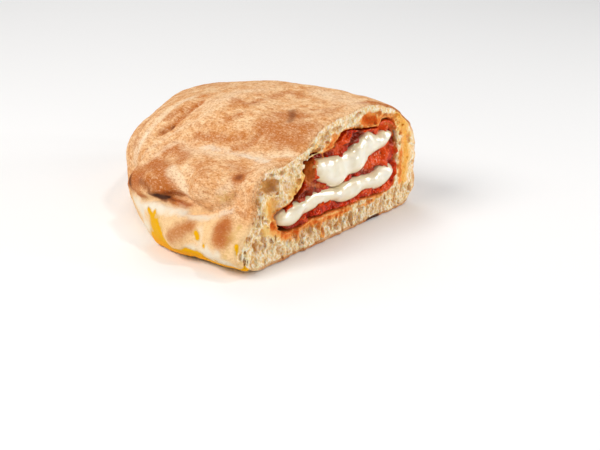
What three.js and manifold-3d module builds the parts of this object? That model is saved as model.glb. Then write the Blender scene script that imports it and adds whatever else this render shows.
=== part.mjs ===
// The cut half of a baked calzone: a folded and filled disc of dough, cut across the middle.
// Millimetres, +Z up. The cut face looks along +X, the sealed rim is on the -Y side and the
// fold on the +Y side. The half lies on its flat base.
//
// All shapes are written in the cut's own frame: x is 0 on the cut and negative inside the
// food, y is 0 at the foot of the sealed rim, and z is 0 on the base. The group moves them to
// the part's origin, below the middle of the whole.

import * as THREE from 'three';
import { mergeVertices } from 'three/addons/utils/BufferGeometryUtils.js';
import Module from 'manifold-3d';

// Driving dimensions

const WIDTH = 147; // from the sealed rim to the fold, at the cut
const REACH = 159; // from the cut to the tip, before the tip is rounded
const TIP_ROUNDING = 40;
const CREST = 66; // top of the dome above the base
const FOLD_WAIST = 18; // height at which the folded side is widest
const SHOULDER = 50; // width over which the dome falls to its side
const ROLL_TOP = 44; // the sealed rim's upper roll, at its outer side
const ROLL_BOTTOM = 27;
const LIP = 27; // top of the lower layer, where the rim was pressed shut
const CAVITY_DEPTH = 118; // how far the filling runs in from the cut
const GAP = 0.35; // clearance between touching pieces
const CHEESE_BULGE = 2; // how far the melted cheese stands out of the cut
const SAUCE_FRONT = -1.2; // where the sauce ends behind the cut
const ORIGIN = { x: 77, y: -75 }; // the cut's frame in the part's frame

// Mesh resolution

const CRUST_RINGS = 30;
const CRUST_SIDES = 96;
const SECTION_SIDES = 30;
const SECTION_RINGS = 11;

// Places of the dents (depth above 0) and bulges (depth below 0) in the crust

const RELIEF = [
  { at: [-47, 14, 37], radius: 9, depth: 4.2 }, // thumb dent in the roll
  { at: [-67, 16, 33], radius: 9, depth: -1.6 }, // swellings on both sides of it
  { at: [-31, 13, 38], radius: 8, depth: -1.6 },
  { at: [-11, 12, 36], radius: 6, depth: 3.0 }, // nick where the lip ends
  { at: [-41, 1, 13], radius: 8, depth: -2.8 }, // blister low on the flank
  { at: [-12, 1, 20], radius: 9, depth: -2.8 }, // larger blister beside the cut
  { at: [-26, 0, 16], radius: 7, depth: 2.6 }, // hollow between the two
  { at: [-96, 25, 19], radius: 9, depth: -2.4 }, // burnt end of the lip
  { at: [-102, 31, 29], radius: 9, depth: 2.6 }, // pinch above that end
  { at: [-82, 31, 40], radius: 10, depth: 1.5 }, // valley between roll and dome, four times
  { at: [-64, 39, 49], radius: 12, depth: 2.0 },
  { at: [-41, 39, 51], radius: 12, depth: 2.4 },
  { at: [-22, 44, 53], radius: 10, depth: 1.2 },
  { at: [-83, 47, 51], radius: 9, depth: 1.8 }, // slanting crease, twice
  { at: [-79, 59, 58], radius: 9, depth: 1.4 },
  { at: [-34, 120, 61], radius: 22, depth: -1.2 }, // top of the dome
  { at: [-36, 84, 64], radius: 16, depth: 1.0 }, // shallow dip before it
  { at: [-118, 108, 50], radius: 22, depth: -1.5 }, // swelling near the tip
  { at: [-45, 147, 30], radius: 24, depth: -1.4 }, // swelling along the fold
  { at: [-95, 145, 38], radius: 18, depth: 1.4 }, // dent along the fold
  { at: [0, 25, 47], radius: 9, depth: -3 }, // the roll swells at the cut
  { at: [-2, 69, 60], radius: 13, depth: -2.2 }, // and so does the dome's left shoulder
  { at: [2, 118, 63], radius: 8, depth: 1.6 }, // dip at its right
  { at: [0, 142, 41], radius: 9, depth: -1.8 }, // full corner above the fold
  { at: [0, 147, 31], radius: 9, depth: -0.8 },
  { at: [-107, 36, 22], radius: 11, depth: 2.4 }, // pinch behind the burnt end
  { at: [-122, 49, 16], radius: 11, depth: 1.6 },
  { at: [-86, 20, 9], radius: 13, depth: 2.6 }, // hollow under that end
];

// Outlines on the cut, as [y, z]

const CAVITY_OUTLINE = [
    [30, 22.6], [33, 26.2], [38.5, 27.2], [43, 29], [46.5, 32.5], [50.5, 35.4], [53, 39.5],
    [53, 44.6], [57, 47.2], [64, 47.6], [73, 47.6], [78.5, 51], [83, 54.4], [90, 54.4],
    [98, 52.4], [106, 51.4], [112.5, 50.6], [116, 52.2], [120.5, 53], [125, 51.4], [128.6, 46.5],
    [130.4, 39], [130.8, 28], [130.4, 21], [127.5, 15.4], [121, 12.6], [110.5, 13], [100, 14],
    [92, 14], [84, 13.4], [76, 14.6], [66, 14.8], [56, 14.6], [47, 13.4], [40, 13.8], [34, 16.4],
];
const SAUCE_OUTLINE = [
    [36, 19.4], [39.5, 15.6], [47, 14.4], [56, 15.6], [66, 15.8], [76, 15.6], [84, 14.4],
    [92, 15], [100, 15], [110.5, 14], [120.5, 13.6], [126.6, 16.2], [129.4, 21.4], [129.8, 28],
    [129.4, 38.6], [127.6, 46], [124.2, 50.2], [120.5, 51.8], [116.4, 51], [112.5, 49.6],
    [106, 50.4], [98, 51.4], [90, 53.4], [84, 53.2], [79.4, 49.8], [73.6, 46.6], [64, 46.2],
    [59, 44.4], [57, 41], [56, 37], [51.5, 34], [47.6, 30.8], [43.4, 28], [38, 26],
];
const UPPER_CHEESE_OUTLINE = [
    [58.4, 41.6], [60.7, 38.2], [62.2, 34.5], [67.8, 31.1], [73.9, 27.6], [79.6, 26.7],
    [84.4, 27.7], [88.8, 30], [95.9, 29.4], [100.7, 30.8], [104.4, 33.6], [107.8, 36], [114.2, 37],
    [119.7, 38], [124.1, 41.4], [124.9, 44.6], [118.3, 46.7], [112.8, 46.2], [108.3, 48.4],
    [103.9, 49.6], [99.7, 47.7], [93.4, 45.6], [89.7, 43.4], [85, 43], [78.8, 43], [71.7, 43.8],
    [64.6, 44.8], [60, 44.1],
];
const LOWER_CHEESE_OUTLINE = [
    [31.2, 22.3], [32.6, 19.4], [37.4, 17.4], [43.1, 16.2], [48, 17.5], [51.5, 19.2],
    [58.5, 19.5], [67.9, 20.2], [75.1, 19.8], [81.3, 17.3], [87.7, 16.2], [94.1, 16.5], [100, 18],
    [105, 17.6], [110.4, 16.4], [116, 15.9], [121.6, 17.2], [126, 20.2], [127.4, 23.4],
    [124.6, 27], [120.6, 28.3], [115.6, 28.1], [111.5, 26.4], [106, 25.8], [100, 26.8],
    [94.5, 27.4], [88, 27.2], [83, 26.7], [78.1, 26.2], [71.9, 27.4], [66, 28.4], [57.8, 28.9],
    [52.5, 27.8], [46, 28], [42.2, 27], [37.4, 25.8], [33.6, 24.8],
];

// How far each slab of cheese runs in from the cut, and how far its inner end hangs down

const CHEESES = [
  { name: 'mozzarella_upper', outline: UPPER_CHEESE_OUTLINE, depth: 72, sag: 4 },
  { name: 'mozzarella_lower', outline: LOWER_CHEESE_OUTLINE, depth: 88, sag: 0 },
];

// The large bubbles in the crumb on the cut, as centre [y, z] and half sizes

const BUBBLES = [
  { at: [27, 39.5], half: [5.2, 3.8] },
  { at: [60, 51.4], half: [4.2, 2.2] },
  { at: [68, 53.6], half: [2.4, 2.2] },
  { at: [106, 56.6], half: [6, 2.6] },
  { at: [42, 43.5], half: [3.2, 1.9] },
  { at: [16, 10.5], half: [1.8, 3.0] },
  { at: [66, 7.6], half: [1.9, 2.9] },
  { at: [79, 6.4], half: [1.4, 2.6] },
  { at: [98, 7], half: [1.9, 2.1] },
  { at: [35, 36.4], half: [2.6, 1.7] },
  { at: [14, 22], half: [2.2, 2.6] },
];
const SMALL_BUBBLES = 30;
const SMALL_BUBBLE_SIZE = { min: 0.9, max: 1.8 };
const CRUMB_WALL = 1.3; // dough left between a bubble and the next surface

// Lumps of crushed tomato that stand out of the sauce on the cut, as [y, z]

const TOMATO_LUMPS = [
  [84, 48.6], [90, 49.5], [55, 32], [112, 31.8], [121, 33.2], [68, 17], [104, 15.6], [120, 49.2],
];
const LUMP_RADIUS = 2.4;

// Small helpers

function smoothMax(a, b, blend) {
  const share = THREE.MathUtils.clamp(0.5 + (0.5 * (a - b)) / blend, 0, 1);
  return b + (a - b) * share + blend * share * (1 - share);
}

function smoothMin(a, b, blend) {
  return -smoothMax(-a, -b, blend);
}

// 0 before `from`, 1 after `to`, and smooth between; `from` may be the larger one
function ramp(value, from, to) {
  const share = THREE.MathUtils.clamp((value - from) / (to - from), 0, 1);
  return share * share * (3 - 2 * share);
}

// A repeatable stream of numbers between 0 and 1
function seededRandom(seed) {
  let state = seed;
  return () => {
    state = (state * 16807) % 2147483647;
    return state / 2147483647;
  };
}

// Outer form of the food: each function is below 0 inside and about in millimetres

// How far a place in plan lies inside the outer contour: an arc along the sealed rim, the
// straight fold, and a rounded tip where they meet
function rimInset(x, y) {
  const arc = (Math.hypot(x / REACH, (y - WIDTH) / WIDTH) - 1) * ((REACH + WIDTH) / 2);
  const fold = y - WIDTH;
  return -smoothMax(arc, fold, TIP_ROUNDING);
}

// A cushion with round sides: full height where `inset` is over `width`
function cushion(inset, z, { waist, top, bottom, width, power = 2.2 }) {
  const side = Math.max(0, 1 - inset / width);
  const rise = Math.max(z - waist, 0) / (top - waist) + Math.max(waist - z, 0) / (waist - bottom);
  const reach = (side ** power + rise ** power) ** (1 / power) - 1;
  return reach * Math.min((top - bottom) / 2, width);
}

function dome(x, y, z, inset) {
  const stepBack = 44 * THREE.MathUtils.clamp(1 + x / 100, 0, 1) * ramp(WIDTH - y, 30, 80);
  const swelling = 4 * Math.exp(-((x + 118) ** 2 + (y - 48) ** 2) / 28 ** 2);
  const fall = 14 * ramp(-x, 50, 150) + 6 * ramp(Math.abs(y - 80), 25, 70) * ramp(-x, 10, 60);
  const size = { waist: FOLD_WAIST, top: CREST - fall, bottom: -14, width: SHOULDER };
  return cushion(inset - stepBack + swelling, z, size);
}

// The roll along the sealed rim, where the upper layer was folded over
function roll(x, z, inset) {
  const overhang = 3 + 12 * ramp(x, -52, -6) - 7 * ramp(-x, 52, 84);
  const behindLip = inset - overhang;
  const top = ROLL_TOP + 8 * ramp(behindLip, 4, 38) - 10 * ramp(-x, 45, 90);
  const bottom = ROLL_BOTTOM + 7 * ramp(x, -40, -10) - 9 * ramp(-x, 50, 85);
  const body = cushion(behindLip, z, { waist: (top + bottom) / 2 - 2, top, bottom, width: 12 });
  const end = (-x - 98) * 0.8;
  return smoothMax(body, end, 6);
}

function lowerLayer(x, z, inset) {
  const left = ramp(-x, 25, 75);
  const out = 3.5 * ramp(-x, 20, 50) * ramp(x, -108, -78);
  const bottom = 0.5 - 4 * ramp(-x, 0, 30);
  const size = { waist: 12 + 2 * left, top: LIP + 2 * left, bottom, width: 26 - 12 * left };
  return cushion(inset + out, z, { ...size, power: 1.8 + 0.9 * left });
}

// Fills the seam behind the roll and the lower layer
function seam(z, inset) {
  return cushion(inset - 12, z, { waist: 22, top: 44, bottom: 0, width: 12 });
}

function foodForm(x, y, z) {
  const inset = rimInset(x, y);
  let form = smoothMin(dome(x, y, z, inset), roll(x, z, inset), 5);
  form = smoothMin(form, lowerLayer(x, z, inset), 1.6);
  form = smoothMin(form, seam(z, inset), 4);
  for (const { at, radius, depth } of RELIEF) {
    const far2 = (x - at[0]) ** 2 + (y - at[1]) ** 2 + (z - at[2]) ** 2;
    form += depth * Math.exp(-far2 / radius ** 2);
  }
  return smoothMax(form, -z, 2);
}

// Mesh builders

function meshFrom(positions, triangles) {
  const geometry = new THREE.BufferGeometry();
  geometry.setAttribute('position', new THREE.Float32BufferAttribute(positions, 3));
  geometry.setIndex(triangles);
  return geometry;
}

// Length along a ray from inside the form to the last place where it is still inside
function castRay(form, centre, direction, longest) {
  const at = (length) => form(...centre.map((c, i) => c + direction[i] * length));
  const step = 2;
  let inside = 0;
  for (let length = step; length < longest; length += step) {
    if (at(length) < 0) inside = length;
  }
  let outside = inside + step;
  for (let round = 0; round < 22; round += 1) {
    const middle = (inside + outside) / 2;
    if (at(middle) < 0) inside = middle;
    else outside = middle;
  }
  return inside;
}

// Closed solid from rays over the half space x <= 0. Its flat face is on x = 0, round centre.
function castSolid(form, centre, spread, rings, sides, longest) {
  const positions = [];
  const triangles = [];
  const addPoint = (direction) => {
    const size = Math.hypot(...direction);
    const unit = direction.map((part) => part / size);
    const length = castRay(form, centre, unit, longest);
    const point = centre.map((c, i) => c + unit[i] * length);
    positions.push(point[0], point[1], point[2] < 1e-3 ? 0 : point[2]);
  };
  addPoint([-1, 0, 0]);
  for (let ring = 1; ring <= rings; ring += 1) {
    const polar = (ring / rings) * (Math.PI / 2);
    const ahead = ring === rings ? 0 : -spread[0] * Math.cos(polar);
    for (let side = 0; side < sides; side += 1) {
      const turn = (side / sides) * 2 * Math.PI;
      const across = spread[1] * Math.sin(polar) * Math.cos(turn);
      addPoint([ahead, across, spread[2] * Math.sin(polar) * Math.sin(turn)]);
    }
  }
  positions.push(...centre);
  const last = positions.length / 3 - 1;
  const corner = (ring, side) => 1 + (ring - 1) * sides + (side % sides);
  for (let side = 0; side < sides; side += 1) {
    triangles.push(0, corner(1, side + 1), corner(1, side));
    for (let ring = 1; ring < rings; ring += 1) {
      const [a, b] = [corner(ring, side), corner(ring, side + 1)];
      const [c, d] = [corner(ring + 1, side), corner(ring + 1, side + 1)];
      triangles.push(a, b, d, a, d, c);
    }
    triangles.push(last, corner(rings, side), corner(rings, side + 1));
  }
  return meshFrom(positions, triangles);
}

// Evenly spaced points round a smooth closed outline on the cut
function outlinePoints(outline, sides) {
  const corners = outline.map(([y, z]) => new THREE.Vector3(0, y, z));
  const curve = new THREE.CatmullRomCurve3(corners, true, 'centripetal');
  return curve.getSpacedPoints(sides).slice(0, sides);
}

function isCounterClockwise(points) {
  return THREE.ShapeUtils.area(points.map(({ y, z }) => new THREE.Vector2(y, z))) > 0;
}

function outwardNormals(points) {
  const outward = isCounterClockwise(points) ? 1 : -1;
  return points.map((point, i) => {
    const along = points[(i + 1) % points.length].clone().sub(points.at(i - 1)).normalize();
    return new THREE.Vector3(0, along.z, -along.y).multiplyScalar(outward);
  });
}

// Closed solid through sections { x, scale, lift } of one outline, from the cut inwards. Every
// section is also moved outwards by `growth`.
function sectionSolid(points, sections, growth = 0) {
  const middle = new THREE.Vector3();
  points.forEach((point) => middle.addScaledVector(point, 1 / points.length));
  const normals = outwardNormals(points);
  const positions = [];
  const triangles = [];
  const sides = points.length;
  const counterClockwise = isCounterClockwise(points);
  const addTriangle = (a, b, c) => triangles.push(...(counterClockwise ? [a, b, c] : [a, c, b]));
  for (const { x, scale, lift } of sections) {
    points.forEach((point, i) => {
      const place = middle.clone().lerp(point, scale).addScaledVector(normals[i], growth);
      positions.push(x, place.y, place.z + lift);
    });
  }
  const [front, back] = [sections[0], sections.at(-1)];
  positions.push(front.x, middle.y, middle.z + front.lift);
  positions.push(back.x, middle.y, middle.z + back.lift);
  const frontMiddle = sides * sections.length;
  for (let side = 0; side < sides; side += 1) {
    const next = (side + 1) % sides;
    addTriangle(frontMiddle, side, next);
    for (let ring = 0; ring < sections.length - 1; ring += 1) {
      const [a, b] = [ring * sides + side, ring * sides + next];
      const [c, d] = [a + sides, b + sides];
      addTriangle(a, c, d);
      addTriangle(a, d, b);
    }
    const lastRing = sides * (sections.length - 1);
    addTriangle(frontMiddle + 1, lastRing + next, lastRing + side);
  }
  return meshFrom(positions, triangles);
}

// Sections that narrow inwards like a bullet, from `front` to `depth` behind the cut
function taper(front, depth, rings, sag = 0) {
  const sections = [{ x: front, scale: 1, lift: 0 }];
  for (let ring = 1; ring <= rings; ring += 1) {
    const share = Math.sin((ring / rings) * (Math.PI / 2) * 0.97);
    const scale = (1 - share ** 2.6) ** (1 / 2.6);
    sections.push({ x: -depth * share, scale, lift: -sag * share ** 2 });
  }
  return sections;
}

// The same with a rounded front that swells out of the cut
function bulgingTaper(bulge, depth, rings, sag) {
  const swell = [
    { x: bulge, scale: 0.5, lift: 0 },
    { x: bulge * 0.85, scale: 0.75, lift: 0 },
    { x: bulge * 0.5, scale: 0.91, lift: 0 },
    { x: bulge * 0.1, scale: 0.98, lift: 0 },
  ];
  return [...swell, ...taper(-bulge * 0.5, depth, rings, sag)];
}

// Solids that manifold-3d joins and cuts

const manifold = await Module();
manifold.setup();

function toSolid(geometry) {
  const bare = geometry.clone();
  bare.deleteAttribute('normal');
  bare.deleteAttribute('uv');
  const merged = mergeVertices(bare, 1e-4);
  const vertProperties = new Float32Array(merged.attributes.position.array);
  const triVerts = new Uint32Array(merged.index.array);
  const mesh = new manifold.Mesh({ numProp: 3, vertProperties, triVerts });
  return new manifold.Manifold(mesh);
}

function toGeometry(solid) {
  const { vertProperties, triVerts } = solid.getMesh();
  return meshFrom(Array.from(vertProperties), Array.from(triVerts));
}

// The sub-parts

function bubbleSolid([y, z], [halfY, halfZ], detail) {
  const shape = new THREE.IcosahedronGeometry(1, detail);
  shape.scale((halfY + halfZ) / 2, halfY, halfZ);
  shape.rotateX((y * 0.7) % 0.5);
  shape.translate(-0.2, y, z);
  return toSolid(shape);
}

// Small bubbles scattered over the crumb on the cut, clear of the crust and of each other
function smallBubbles() {
  const random = seededRandom(4177);
  const cavity = outlinePoints(CAVITY_OUTLINE, SECTION_SIDES * 3);
  const taken = BUBBLES.map(({ at, half }) => ({ at, reach: Math.max(...half) }));
  const found = [];
  while (found.length < SMALL_BUBBLES) {
    const at = [random() * WIDTH, random() * CREST];
    const reach = THREE.MathUtils.lerp(SMALL_BUBBLE_SIZE.min, SMALL_BUBBLE_SIZE.max, random() ** 2);
    const inCrumb = foodForm(0, ...at) < -(reach + CRUMB_WALL);
    const fromCavity = Math.min(...cavity.map((p) => Math.hypot(p.y - at[0], p.z - at[1])));
    const clear = taken.every((other) => {
      const apart = Math.hypot(other.at[0] - at[0], other.at[1] - at[1]);
      return apart > other.reach + reach + CRUMB_WALL / 2;
    });
    if (inCrumb && fromCavity > reach + CRUMB_WALL && clear && !insideOutline(at, cavity)) {
      found.push({ at, half: [reach, reach * (0.8 + 0.6 * random())] });
      taken.push({ at, reach: reach * 1.4 });
    }
  }
  return found;
}

function insideOutline([y, z], points) {
  let inside = false;
  points.forEach((point, i) => {
    const next = points[(i + 1) % points.length];
    const spans = point.z > z !== next.z > z;
    if (spans && y < point.y + ((z - point.z) / (next.z - point.z)) * (next.y - point.y)) {
      inside = !inside;
    }
  });
  return inside;
}

function doughGeometry() {
  const centre = [0, 82, 38];
  const spread = [150, 75, 32];
  const whole = castSolid(foodForm, centre, spread, CRUST_RINGS, CRUST_SIDES, 230);
  const cavityPoints = outlinePoints(CAVITY_OUTLINE, SECTION_SIDES);
  const cavity = sectionSolid(cavityPoints, taper(4, CAVITY_DEPTH, SECTION_RINGS));
  let solid = toSolid(whole).subtract(toSolid(cavity));
  for (const { at, half } of BUBBLES) {
    solid = solid.subtract(bubbleSolid(at, half, 1));
  }
  for (const { at, half } of smallBubbles()) {
    solid = solid.subtract(bubbleSolid(at, half, 0));
  }
  return toGeometry(solid);
}

function cheeseGeometry({ outline, depth, sag }, growth = 0) {
  const points = outlinePoints(outline, SECTION_SIDES);
  const sections = bulgingTaper(CHEESE_BULGE + growth, depth + growth, SECTION_RINGS - 3, sag);
  return sectionSolid(points, sections, growth);
}

function sauceGeometry() {
  const points = outlinePoints(SAUCE_OUTLINE, SECTION_SIDES);
  const sections = taper(SAUCE_FRONT, CAVITY_DEPTH - 4, SECTION_RINGS);
  let solid = toSolid(sectionSolid(points, sections));
  for (const at of TOMATO_LUMPS) {
    const lump = new THREE.IcosahedronGeometry(LUMP_RADIUS, 1);
    lump.scale(0.9, 1.2, 0.8);
    lump.translate(SAUCE_FRONT, ...at);
    solid = solid.add(toSolid(lump));
  }
  for (const cheese of CHEESES) {
    solid = solid.subtract(toSolid(cheeseGeometry(cheese, GAP)));
  }
  return toGeometry(solid);
}

function addMesh(group, name, geometry, color, roughness) {
  geometry.computeVertexNormals();
  const material = new THREE.MeshStandardMaterial({ color, roughness, metalness: 0 });
  const mesh = new THREE.Mesh(geometry, material);
  mesh.name = name;
  group.add(mesh);
}

const calzone = new THREE.Group();
calzone.name = 'calzone_half';
calzone.position.set(ORIGIN.x, ORIGIN.y, 0);
addMesh(calzone, 'dough', doughGeometry(), 0xe0b27c, 0.85);
addMesh(calzone, 'tomato_sauce', sauceGeometry(), 0xa8301c, 0.35);
for (const cheese of CHEESES) {
  addMesh(calzone, cheese.name, cheeseGeometry(cheese), 0xefe6cf, 0.25);
}

export default calzone;
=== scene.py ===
"""Looks of the cut half of a baked calzone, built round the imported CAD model.

The shapes are worked out in millimetres in the cut's own frame: x is 0 on the cut and negative
inside the food, y is 0 at the foot of the sealed rim, and z is 0 on the base. They are the
same shapes as the CAD solids, sampled finely and dressed with pores, wrinkles and lumps.
"""

import math

import bpy
import numpy as np
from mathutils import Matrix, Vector


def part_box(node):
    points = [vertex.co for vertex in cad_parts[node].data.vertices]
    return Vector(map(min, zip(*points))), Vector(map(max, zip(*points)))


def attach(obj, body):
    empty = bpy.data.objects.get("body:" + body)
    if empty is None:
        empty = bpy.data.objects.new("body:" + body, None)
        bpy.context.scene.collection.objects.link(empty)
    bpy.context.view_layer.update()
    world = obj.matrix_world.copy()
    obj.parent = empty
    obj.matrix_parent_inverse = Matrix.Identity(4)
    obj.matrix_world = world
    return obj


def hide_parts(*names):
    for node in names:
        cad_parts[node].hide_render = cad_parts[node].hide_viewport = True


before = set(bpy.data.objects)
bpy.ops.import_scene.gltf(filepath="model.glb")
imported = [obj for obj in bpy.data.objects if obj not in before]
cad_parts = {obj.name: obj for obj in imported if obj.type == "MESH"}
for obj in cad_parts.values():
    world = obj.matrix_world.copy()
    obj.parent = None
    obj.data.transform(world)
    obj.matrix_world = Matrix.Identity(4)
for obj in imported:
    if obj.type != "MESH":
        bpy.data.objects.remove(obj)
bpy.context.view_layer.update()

# ---- driving dimensions, mm

MM = 0.001
WIDTH = 147.0  # from the sealed rim to the fold, at the cut
REACH = 159.0  # from the cut to the tip, before the tip is rounded
TIP_ROUNDING = 40.0
CREST = 66.0  # top of the dome
FOLD_WAIST = 18.0  # height at which the folded side is widest
SHOULDER = 50.0  # width over which the dome falls to its side
ROLL_TOP = 44.0
ROLL_BOTTOM = 27.0
LIP = 27.0  # top of the lower layer, where the rim was pressed shut
CAVITY_DEPTH = 118.0
SAUCE_DEPTH = 114.0
SAUCE_FRONT = -1.2  # x of its front between the lumps
SAUCE_LIMIT = 0.9  # x that no lump passes
SAUCE_OVERLAP = 0.15  # how far it reaches into the cheese
SAUCE_EDGE = 2.4  # width of its edge, where it climbs the wall of the pocket
SAUCE_CLIMB = 0.8  # and how far it comes forward there
CHEESE_BULGE = 2.0  # how far the melted cheese stands out of the cut
CHEESE_SWELLING = 1.2  # how much of that only its swellings reach
CHEESE_PILLOW = 5.6  # width of the rounding from its outline to its front
CHEESE_BACK = -1.9  # where that rounding starts behind the cut
CHEESE_EDGE = -3.0  # x of the end of its thin edge
PILLOW_POWER = 2.0
RIM_FOOT = -75.0  # y of the cut's frame in the part's frame
ORIGIN = np.array([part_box("dough")[1].x / MM, RIM_FOOT, 0.0])

# ---- sampling, mm

COARSER = 1.0
FINE_STEP = 0.53 * COARSER
CUT_STEP = 0.44 * COARSER  # spacing in x near the cut
CUT_ZONE = 5.0
STEP_GROWTH = 0.03
COARSE_STEP = 1.0 * COARSER
FILLING_STEP = 0.5 * COARSER
DOUGH_GRID = ((-REACH - 2, 1.4), (-4.0, WIDTH + 6), (-1.2, CREST + 1.5))  # ends of each axis
CLOSE_UP = -3.0  # x of the end of the finest part
CRUST_BLOCK = (1, 2, 2)  # cells that share a vertex behind it
HIDDEN_BLOCK = (3, 6, 6)  # cells that share one where nothing shows
HIDDEN_FROM = -8.0  # x from which the inside is hidden
HIDDEN_DEPTH = 3.0  # how far under the crust it starts
UNDERSIDE = 0.4  # height below which the dough is hidden too

# Dents (depth above 0) and bulges (below 0) in the crust: place, radius, depth

RELIEF = [
    ((-47, 14, 37), 9, 4.2),  # thumb dent in the roll
    ((-67, 16, 33), 9, -1.6),  # swellings on both sides of it
    ((-31, 13, 38), 8, -1.6),
    ((-11, 12, 36), 6, 3),  # nick where the lip ends
    ((-41, 1, 13), 8, -2.8),  # blister low on the flank
    ((-12, 1, 20), 9, -2.8),  # larger blister beside the cut
    ((-26, 0, 16), 7, 2.6),  # hollow between the two
    ((-96, 25, 19), 9, -2.4),  # burnt end of the lip
    ((-102, 31, 29), 9, 2.6),  # pinch above that end
    ((-82, 31, 40), 10, 1.5),  # valley between roll and dome
    ((-64, 39, 49), 12, 2),
    ((-41, 39, 51), 12, 2.4),
    ((-22, 44, 53), 10, 1.2),
    ((-83, 47, 51), 9, 1.8),  # slanting crease
    ((-79, 59, 58), 9, 1.4),
    ((-34, 120, 61), 22, -1.2),  # top of the dome
    ((-36, 84, 64), 16, 1),  # shallow dip before it
    ((-118, 108, 50), 22, -1.5),  # swelling near the tip
    ((-45, 147, 30), 24, -1.4),  # swelling along the fold
    ((-95, 145, 38), 18, 1.4),  # dent along the fold
    ((0, 25, 47), 9, -3),  # the roll swells at the cut
    ((-2, 69, 60), 13, -2.2),  # and so does the dome's left shoulder
    ((2, 118, 63), 8, 1.6),  # dip at its right
    ((0, 142, 41), 9, -1.8),  # full corner above the fold
    ((0, 147, 31), 9, -0.8),
    ((-107, 36, 22), 11, 2.4),  # pinch behind the burnt end
    ((-122, 49, 16), 11, 1.6),
    ((-86, 20, 9), 13, 2.6),  # hollow under that end
]

# Outlines on the cut, as (y, z)

CAVITY_OUTLINE = [
    (30, 22.6), (33, 26.2), (38.5, 27.2), (43, 29), (46.5, 32.5), (50.5, 35.4), (53, 39.5),
    (53, 44.6), (57, 47.2), (64, 47.6), (73, 47.6), (78.5, 51), (83, 54.4), (90, 54.4),
    (98, 52.4), (106, 51.4), (112.5, 50.6), (116, 52.2), (120.5, 53), (125, 51.4), (128.6, 46.5),
    (130.4, 39), (130.8, 28), (130.4, 21), (127.5, 15.4), (121, 12.6), (110.5, 13), (100, 14),
    (92, 14), (84, 13.4), (76, 14.6), (66, 14.8), (56, 14.6), (47, 13.4), (40, 13.8), (34, 16.4),
]  # fmt: skip
SAUCE_OUTLINE = [
    (36, 19.4), (39.5, 15.6), (47, 14.4), (56, 15.6), (66, 15.8), (76, 15.6), (84, 14.4),
    (92, 15), (100, 15), (110.5, 14), (120.5, 13.6), (126.6, 16.2), (129.4, 21.4), (129.8, 28),
    (129.4, 38.6), (127.6, 46), (124.2, 50.2), (120.5, 51.8), (116.4, 51), (112.5, 49.6),
    (106, 50.4), (98, 51.4), (90, 53.4), (84, 53.2), (79.4, 49.8), (73.6, 46.6), (64, 46.2),
    (59, 44.4), (57, 41), (56, 37), (51.5, 34), (47.6, 30.8), (43.4, 28), (38, 26),
]  # fmt: skip
UPPER_CHEESE_OUTLINE = [
    (58.4, 41.6), (60.7, 38.2), (62.2, 34.5), (67.8, 31.1), (73.9, 27.6), (79.6, 26.7),
    (84.4, 27.7), (88.8, 30), (95.9, 29.4), (100.7, 30.8), (104.4, 33.6), (107.8, 36), (114.2, 37),
    (119.7, 38), (124.1, 41.4), (124.9, 44.6), (118.3, 46.7), (112.8, 46.2), (108.3, 48.4),
    (103.9, 49.6), (99.7, 47.7), (93.4, 45.6), (89.7, 43.4), (85, 43), (78.8, 43), (71.7, 43.8),
    (64.6, 44.8), (60, 44.1),
]  # fmt: skip
LOWER_CHEESE_OUTLINE = [
    (31.2, 22.3), (32.6, 19.4), (37.4, 17.4), (43.1, 16.2), (48, 17.5), (51.5, 19.2),
    (58.5, 19.5), (67.9, 20.2), (75.1, 19.8), (81.3, 17.3), (87.7, 16.2), (94.1, 16.5), (100, 18),
    (105, 17.6), (110.4, 16.4), (116, 15.9), (121.6, 17.2), (126, 20.2), (127.4, 23.4),
    (124.6, 27), (120.6, 28.3), (115.6, 28.1), (111.5, 26.4), (106, 25.8), (100, 26.8),
    (94.5, 27.4), (88, 27.2), (83, 26.7), (78.1, 26.2), (71.9, 27.4), (66, 28.4), (57.8, 28.9),
    (52.5, 27.8), (46, 28), (42.2, 27), (37.4, 25.8), (33.6, 24.8),
]  # fmt: skip

# Swellings and dips on the front of each cheese: (y, z), radius, height

CHEESE_WAVES = {
    "cheese_upper": [
        ((69, 38), 5, 0.8), ((78.2, 33.2), 4, 1.4), ((84, 41), 4, -0.5), ((92.4, 35.6), 4, 1.4),
        ((97, 43), 4, 0.6), ((103, 37), 4, -0.8), ((107, 44), 4, 0.4), ((114.6, 42.4), 3.4, 1.2),
        ((119, 45), 3, -0.6), ((77, 42.4), 2.2, 0.7), ((89, 43.6), 2, 0.6),
    ],
    "cheese_lower": [
        ((38, 21), 5, 0.4), ((49.4, 25.6), 3, 1.3), ((60, 24), 5, -0.4), ((78.4, 24), 3.2, 1.3),
        ((88, 21), 4, -0.5), ((96, 23), 5, 0.4), ((110, 23), 3.4, 1), ((122, 23.4), 4.4, 1.1),
    ],
}  # fmt: skip

# Hollows torn open on the cut: (y, z), half sizes (y, z), how deep they run, tilt in degrees

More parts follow.
